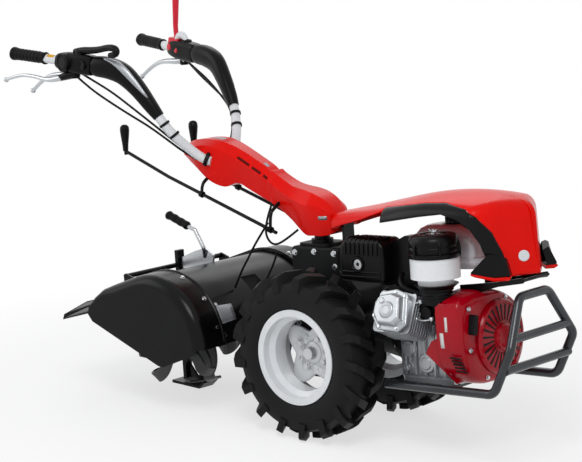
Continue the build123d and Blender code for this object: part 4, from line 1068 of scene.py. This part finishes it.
# %% The bolt tree
def bolt_tree():
    """A node tree that stands a washer and a hexagon head on each point."""
    tree = bpy.data.node_groups.new("hexagon_bolts", "GeometryNodeTree")
    face = tree.interface
    face.new_socket("Geometry", in_out="INPUT", socket_type="NodeSocketGeometry")
    for title, value in (("Head width", 0.010), ("Head height", 0.005), ("Washer width", 0.014)):
        face.new_socket(title, in_out="INPUT", socket_type="NodeSocketFloat").default_value = value
    face.new_socket("Finish", in_out="INPUT", socket_type="NodeSocketMaterial")
    face.new_socket("Geometry", in_out="OUTPUT", socket_type="NodeSocketGeometry")
    given = add_node(tree, "NodeGroupInput")

    def times(value, factor):
        return add_node(tree, "ShaderNodeMath", {"operation": "MULTIPLY", 1: factor}, {0: value})

    half = times(given.outputs["Head width"], 0.577)
    lift = times(given.outputs["Head height"], 0.6)
    up = add_node(tree, "ShaderNodeCombineXYZ", links={"Z": lift.outputs["Value"]})
    head = add_node(tree, "GeometryNodeMeshCylinder", {"Vertices": 6},
                    {"Radius": half.outputs["Value"], "Depth": given.outputs["Head height"]})
    raised = add_node(tree, "GeometryNodeTransform", links={"Geometry": head.outputs["Mesh"],
                                                            "Translation": up.outputs["Vector"]})
    round_half = times(given.outputs["Washer width"], 0.5)
    thin = times(given.outputs["Head height"], 0.45)
    washer = add_node(tree, "GeometryNodeMeshCylinder", {"Vertices": 20},
                      {"Radius": round_half.outputs["Value"], "Depth": thin.outputs["Value"]})
    bolt = add_node(tree, "GeometryNodeJoinGeometry")
    tree.links.new(raised.outputs["Geometry"], bolt.inputs["Geometry"])
    tree.links.new(washer.outputs["Mesh"], bolt.inputs["Geometry"])
    aim = add_node(tree, "GeometryNodeInputNamedAttribute", {"data_type": "FLOAT_VECTOR", "Name": "aim"})
    size = add_node(tree, "GeometryNodeInputNamedAttribute", {"data_type": "FLOAT", "Name": "size"})
    turn = add_node(tree, "FunctionNodeAlignRotationToVector", {"axis": "Z"}, {"Vector": aim.outputs[0]})
    placed = add_node(tree, "GeometryNodeInstanceOnPoints", links={
        "Points": given.outputs["Geometry"], "Instance": bolt.outputs["Geometry"],
        "Rotation": turn.outputs["Rotation"], "Scale": size.outputs[0]})
    real = add_node(tree, "GeometryNodeRealizeInstances", links={"Geometry": placed.outputs["Instances"]})
    coloured = add_node(tree, "GeometryNodeSetMaterial", links={"Geometry": real.outputs["Geometry"],
                                                                "Material": given.outputs["Finish"]})
    add_node(tree, "NodeGroupOutput", links={"Geometry": coloured.outputs["Geometry"]})
    return tree


bolts_on_points = bolt_tree()


def baked(name, body, points, tree, inputs):
    """Runs a tree on points with their directions and sizes, and keeps the result as a plain mesh."""
    cloud = bpy.data.meshes.new(name)
    cloud.from_pydata([p[0] for p in points], [], [])
    cloud.attributes.new("aim", "FLOAT_VECTOR", "POINT")
    cloud.attributes.new("size", "FLOAT", "POINT")
    cloud.attributes["aim"].data.foreach_set("vector", [c for _, way, _ in points for c in way])
    cloud.attributes["size"].data.foreach_set("value", [scale for _, _, scale in points])
    carrier = bpy.data.objects.new(name, cloud)
    bpy.context.scene.collection.objects.link(carrier)
    modifier = carrier.modifiers.new("tree", "NODES")
    modifier.node_group = tree
    for item in tree.interface.items_tree:
        if item.item_type == "SOCKET" and item.in_out == "INPUT" and item.name in inputs:
            modifier[item.identifier] = inputs[item.name]
    seen = carrier.evaluated_get(bpy.context.evaluated_depsgraph_get())
    mesh = bpy.data.meshes.new_from_object(seen)
    bpy.data.objects.remove(carrier)
    piece = bpy.data.objects.new(name, mesh)
    mesh.name = name
    bpy.context.scene.collection.objects.link(piece)
    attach(piece, body)
    print(name, len(points), "bolts", len(mesh.polygons), "faces")


# %% [markdown]
# The bolts are listed by what they hold: the gearbox covers, the bell housing's flange, the engine's
# castings, the tiller's sheets, the wheel discs and the rotor's flanges.

# %% Where the bolts are
def facing(node, spots, toward, size):
    """Bolts that stand on a node, seen along a direction."""
    return [(*landing(node, spot, toward), size) for spot in spots]


gearbox_edge = [(-156, 278), (-78, 283), (0, 280), (2, 240), (66, 150), (68, 60), (66, -40), (38, -92),
                (-96, -92), (-134, -30), (-156, 60), (-156, 160)]
chassis_bolts = []
for side in (-1, 1):
    chassis_bolts += facing("gearbox", [(x, side * 62, z) for x, z in gearbox_edge], (0, -side, 0), 1.2)
    chassis_bolts += facing("tiller_gear_case", [(-194, side * 48, 68), (-194, side * 48, 184)], (1, 0, 0),
                            1.1)
    for x, z in ((-375, 151), (-331, 64), (-462, 212)):
        chassis_bolts.append((place(x, side * 250, z), heading(x - rotor_x, 0, z - rotor_z), 0.9))
    chassis_bolts += facing("tiller_hood", [(-362, side * 214, 127), (-327, side * 219, 37)], (-1, 0, -0.4),
                            1.0)
    chassis_bolts += facing("bumper", [(282, side * 125, -79), (440, side * 125, -79)], (0, 0, -1), 1.3)
    chassis_bolts += facing("engine_crankcase", [(276, side * 70, -66), (448, side * 70, -66)], (0, 0, -1),
                            1.2)
for turn in range(0, 360, 45):
    y, z = on_circle(99, turn + 20)
    chassis_bolts += facing("clutch_housing", [(246, y, crank_z + z)], (1, 0, 0), 0.9)
chassis_bolts += facing("fan_cover", [(554, -140, 40), (554, -140, 160), (554, 108, 62), (554, 60, -48),
                                      (554, -66, -52), (554, 40, 166)], (-1, 0, 0), 0.9)
for u, v in ((-55, -18), (-30, -50), (34, -51), (55, -30), (41, 44), (4, 55), (-48, 30)):
    chassis_bolts.append((place(*on_head(u, v, 9)), heading(*head_out), 0.8))
zinc = finishes["bright_steel"]
sizes = {"Head width": 0.011, "Head height": 0.005, "Washer width": 0.016, "Finish": zinc}
baked("chassis_bolts", "chassis", chassis_bolts, bolts_on_points, sizes)

for side, hand in ((-1, "right"), (1, "left")):
    ring = [on_circle(50, 60 + 90 * k) for k in range(4)]
    wheel_bolts = [(place(x, side * 188, z), heading(0, side, 0), 1.5) for x, z in ring]
    baked(f"wheel_bolts_{hand}", f"wheel_{hand}", wheel_bolts, bolts_on_points, sizes)

rotor_bolts = []
for side in (-1, 1):
    for middle in flange_places:
        for k in range(8):
            x, z = on_circle(34, 45 * k)
            for way in (-1, 1):
                spot = place(rotor_x + x, side * middle + way * 4, rotor_z + z)
                rotor_bolts.append((spot, heading(0, way, 0), 1.1))
baked("rotor_bolts", "rotor", rotor_bolts, bolts_on_points, sizes)

# %% [markdown]
# ## Floor and light
# A plain pale floor and background come from the materials themselves, which the camera and reflections
# see as white, so that no extra light falls on the machine. Three soft lamps model a bright workshop
# photograph.

# %% Floor, background and lamps
def seen_directly(tree):
    """One where the camera, a reflection or clear plastic sees a surface, zero where it only lights."""
    ray = add_node(tree, "ShaderNodeLightPath")
    seen = add_node(tree, "ShaderNodeMath", {"operation": "MAXIMUM"},
                    {0: ray.outputs["Is Camera Ray"], 1: ray.outputs["Is Glossy Ray"]})
    return add_node(tree, "ShaderNodeMath", {"operation": "MAXIMUM"},
                    {0: seen.outputs["Value"], 1: ray.outputs["Is Transmission Ray"]}).outputs["Value"]


def pale_world():
    """A world that lights softly and looks white to the camera."""
    world = bpy.data.worlds.new("studio")
    bpy.context.scene.world = world
    world.use_nodes = True
    tree = world.node_tree
    tree.nodes.clear()
    soft = add_node(tree, "ShaderNodeBackground", {"Color": hex_colour("#F2F4F7"), "Strength": 0.5})
    white = add_node(tree, "ShaderNodeBackground", {"Color": hex_colour("#FFFFFF"), "Strength": 1.0})
    mix = add_node(tree, "ShaderNodeMixShader", links={0: seen_directly(tree),
                                                       1: soft.outputs["Background"],
                                                       2: white.outputs["Background"]})
    add_node(tree, "ShaderNodeOutputWorld", links={"Surface": mix.outputs["Shader"]})


def studio_floor():
    """A large pale floor that keeps the machine's shadow and fades to plain white further out."""
    mesh = bpy.data.meshes.new("floor")
    mesh.from_pydata([(-30, -30, 0), (30, -30, 0), (30, 30, 0), (-30, 30, 0)], [], [(0, 1, 2, 3)])
    floor = bpy.data.objects.new("floor", mesh)
    bpy.context.scene.collection.objects.link(floor)
    material, tree = new_material("pale_floor")
    where = add_node(tree, "ShaderNodeTexCoord")
    reach = add_node(tree, "ShaderNodeVectorMath", {"operation": "LENGTH"}, {0: where.outputs["Object"]})
    far = add_node(tree, "ShaderNodeMapRange", {"interpolation_type": "SMOOTHSTEP", "From Min": 0.9,
                                                "From Max": 2.0, "To Min": 0.66, "To Max": 1.0},
                   {"Value": reach.outputs["Value"]})
    share = add_node(tree, "ShaderNodeMath", {"operation": "MULTIPLY"},
                     {0: far.outputs["Result"], 1: seen_directly(tree)})
    matt = add_node(tree, "ShaderNodeBsdfDiffuse", {"Color": hex_colour("#FFFFFF")})
    plain = add_node(tree, "ShaderNodeEmission", {"Color": hex_colour("#FFFFFF"), "Strength": 1.0})
    mix = add_node(tree, "ShaderNodeMixShader", links={0: share.outputs["Value"], 1: matt.outputs["BSDF"],
                                                       2: plain.outputs["Emission"]})
    add_node(tree, "ShaderNodeOutputMaterial", links={"Surface": mix.outputs["Shader"]})
    mesh.materials.append(material)


def soft_lamp(name, location, size, watts):
    """A square area lamp that points at the middle of the machine."""
    data = bpy.data.lights.new(name, "AREA")
    data.size = size
    data.energy = watts
    lamp = bpy.data.objects.new(name, data)
    lamp.location = location
    lamp.rotation_euler = (Vector((0.1, 0, 0.5)) - lamp.location).to_track_quat("-Z", "Y").to_euler()
    bpy.context.scene.collection.objects.link(lamp)


pale_world()
studio_floor()
soft_lamp("key_lamp", Vector((2.2, -3.0, 4.2)), 2.0, 110.0)
soft_lamp("fill_lamp", Vector((-3.4, -2.6, 2.6)), 2.6, 35.0)
soft_lamp("back_lamp", Vector((-2.4, 3.0, 3.8)), 2.4, 22.0)
bpy.context.scene.view_settings.view_transform = "Standard"
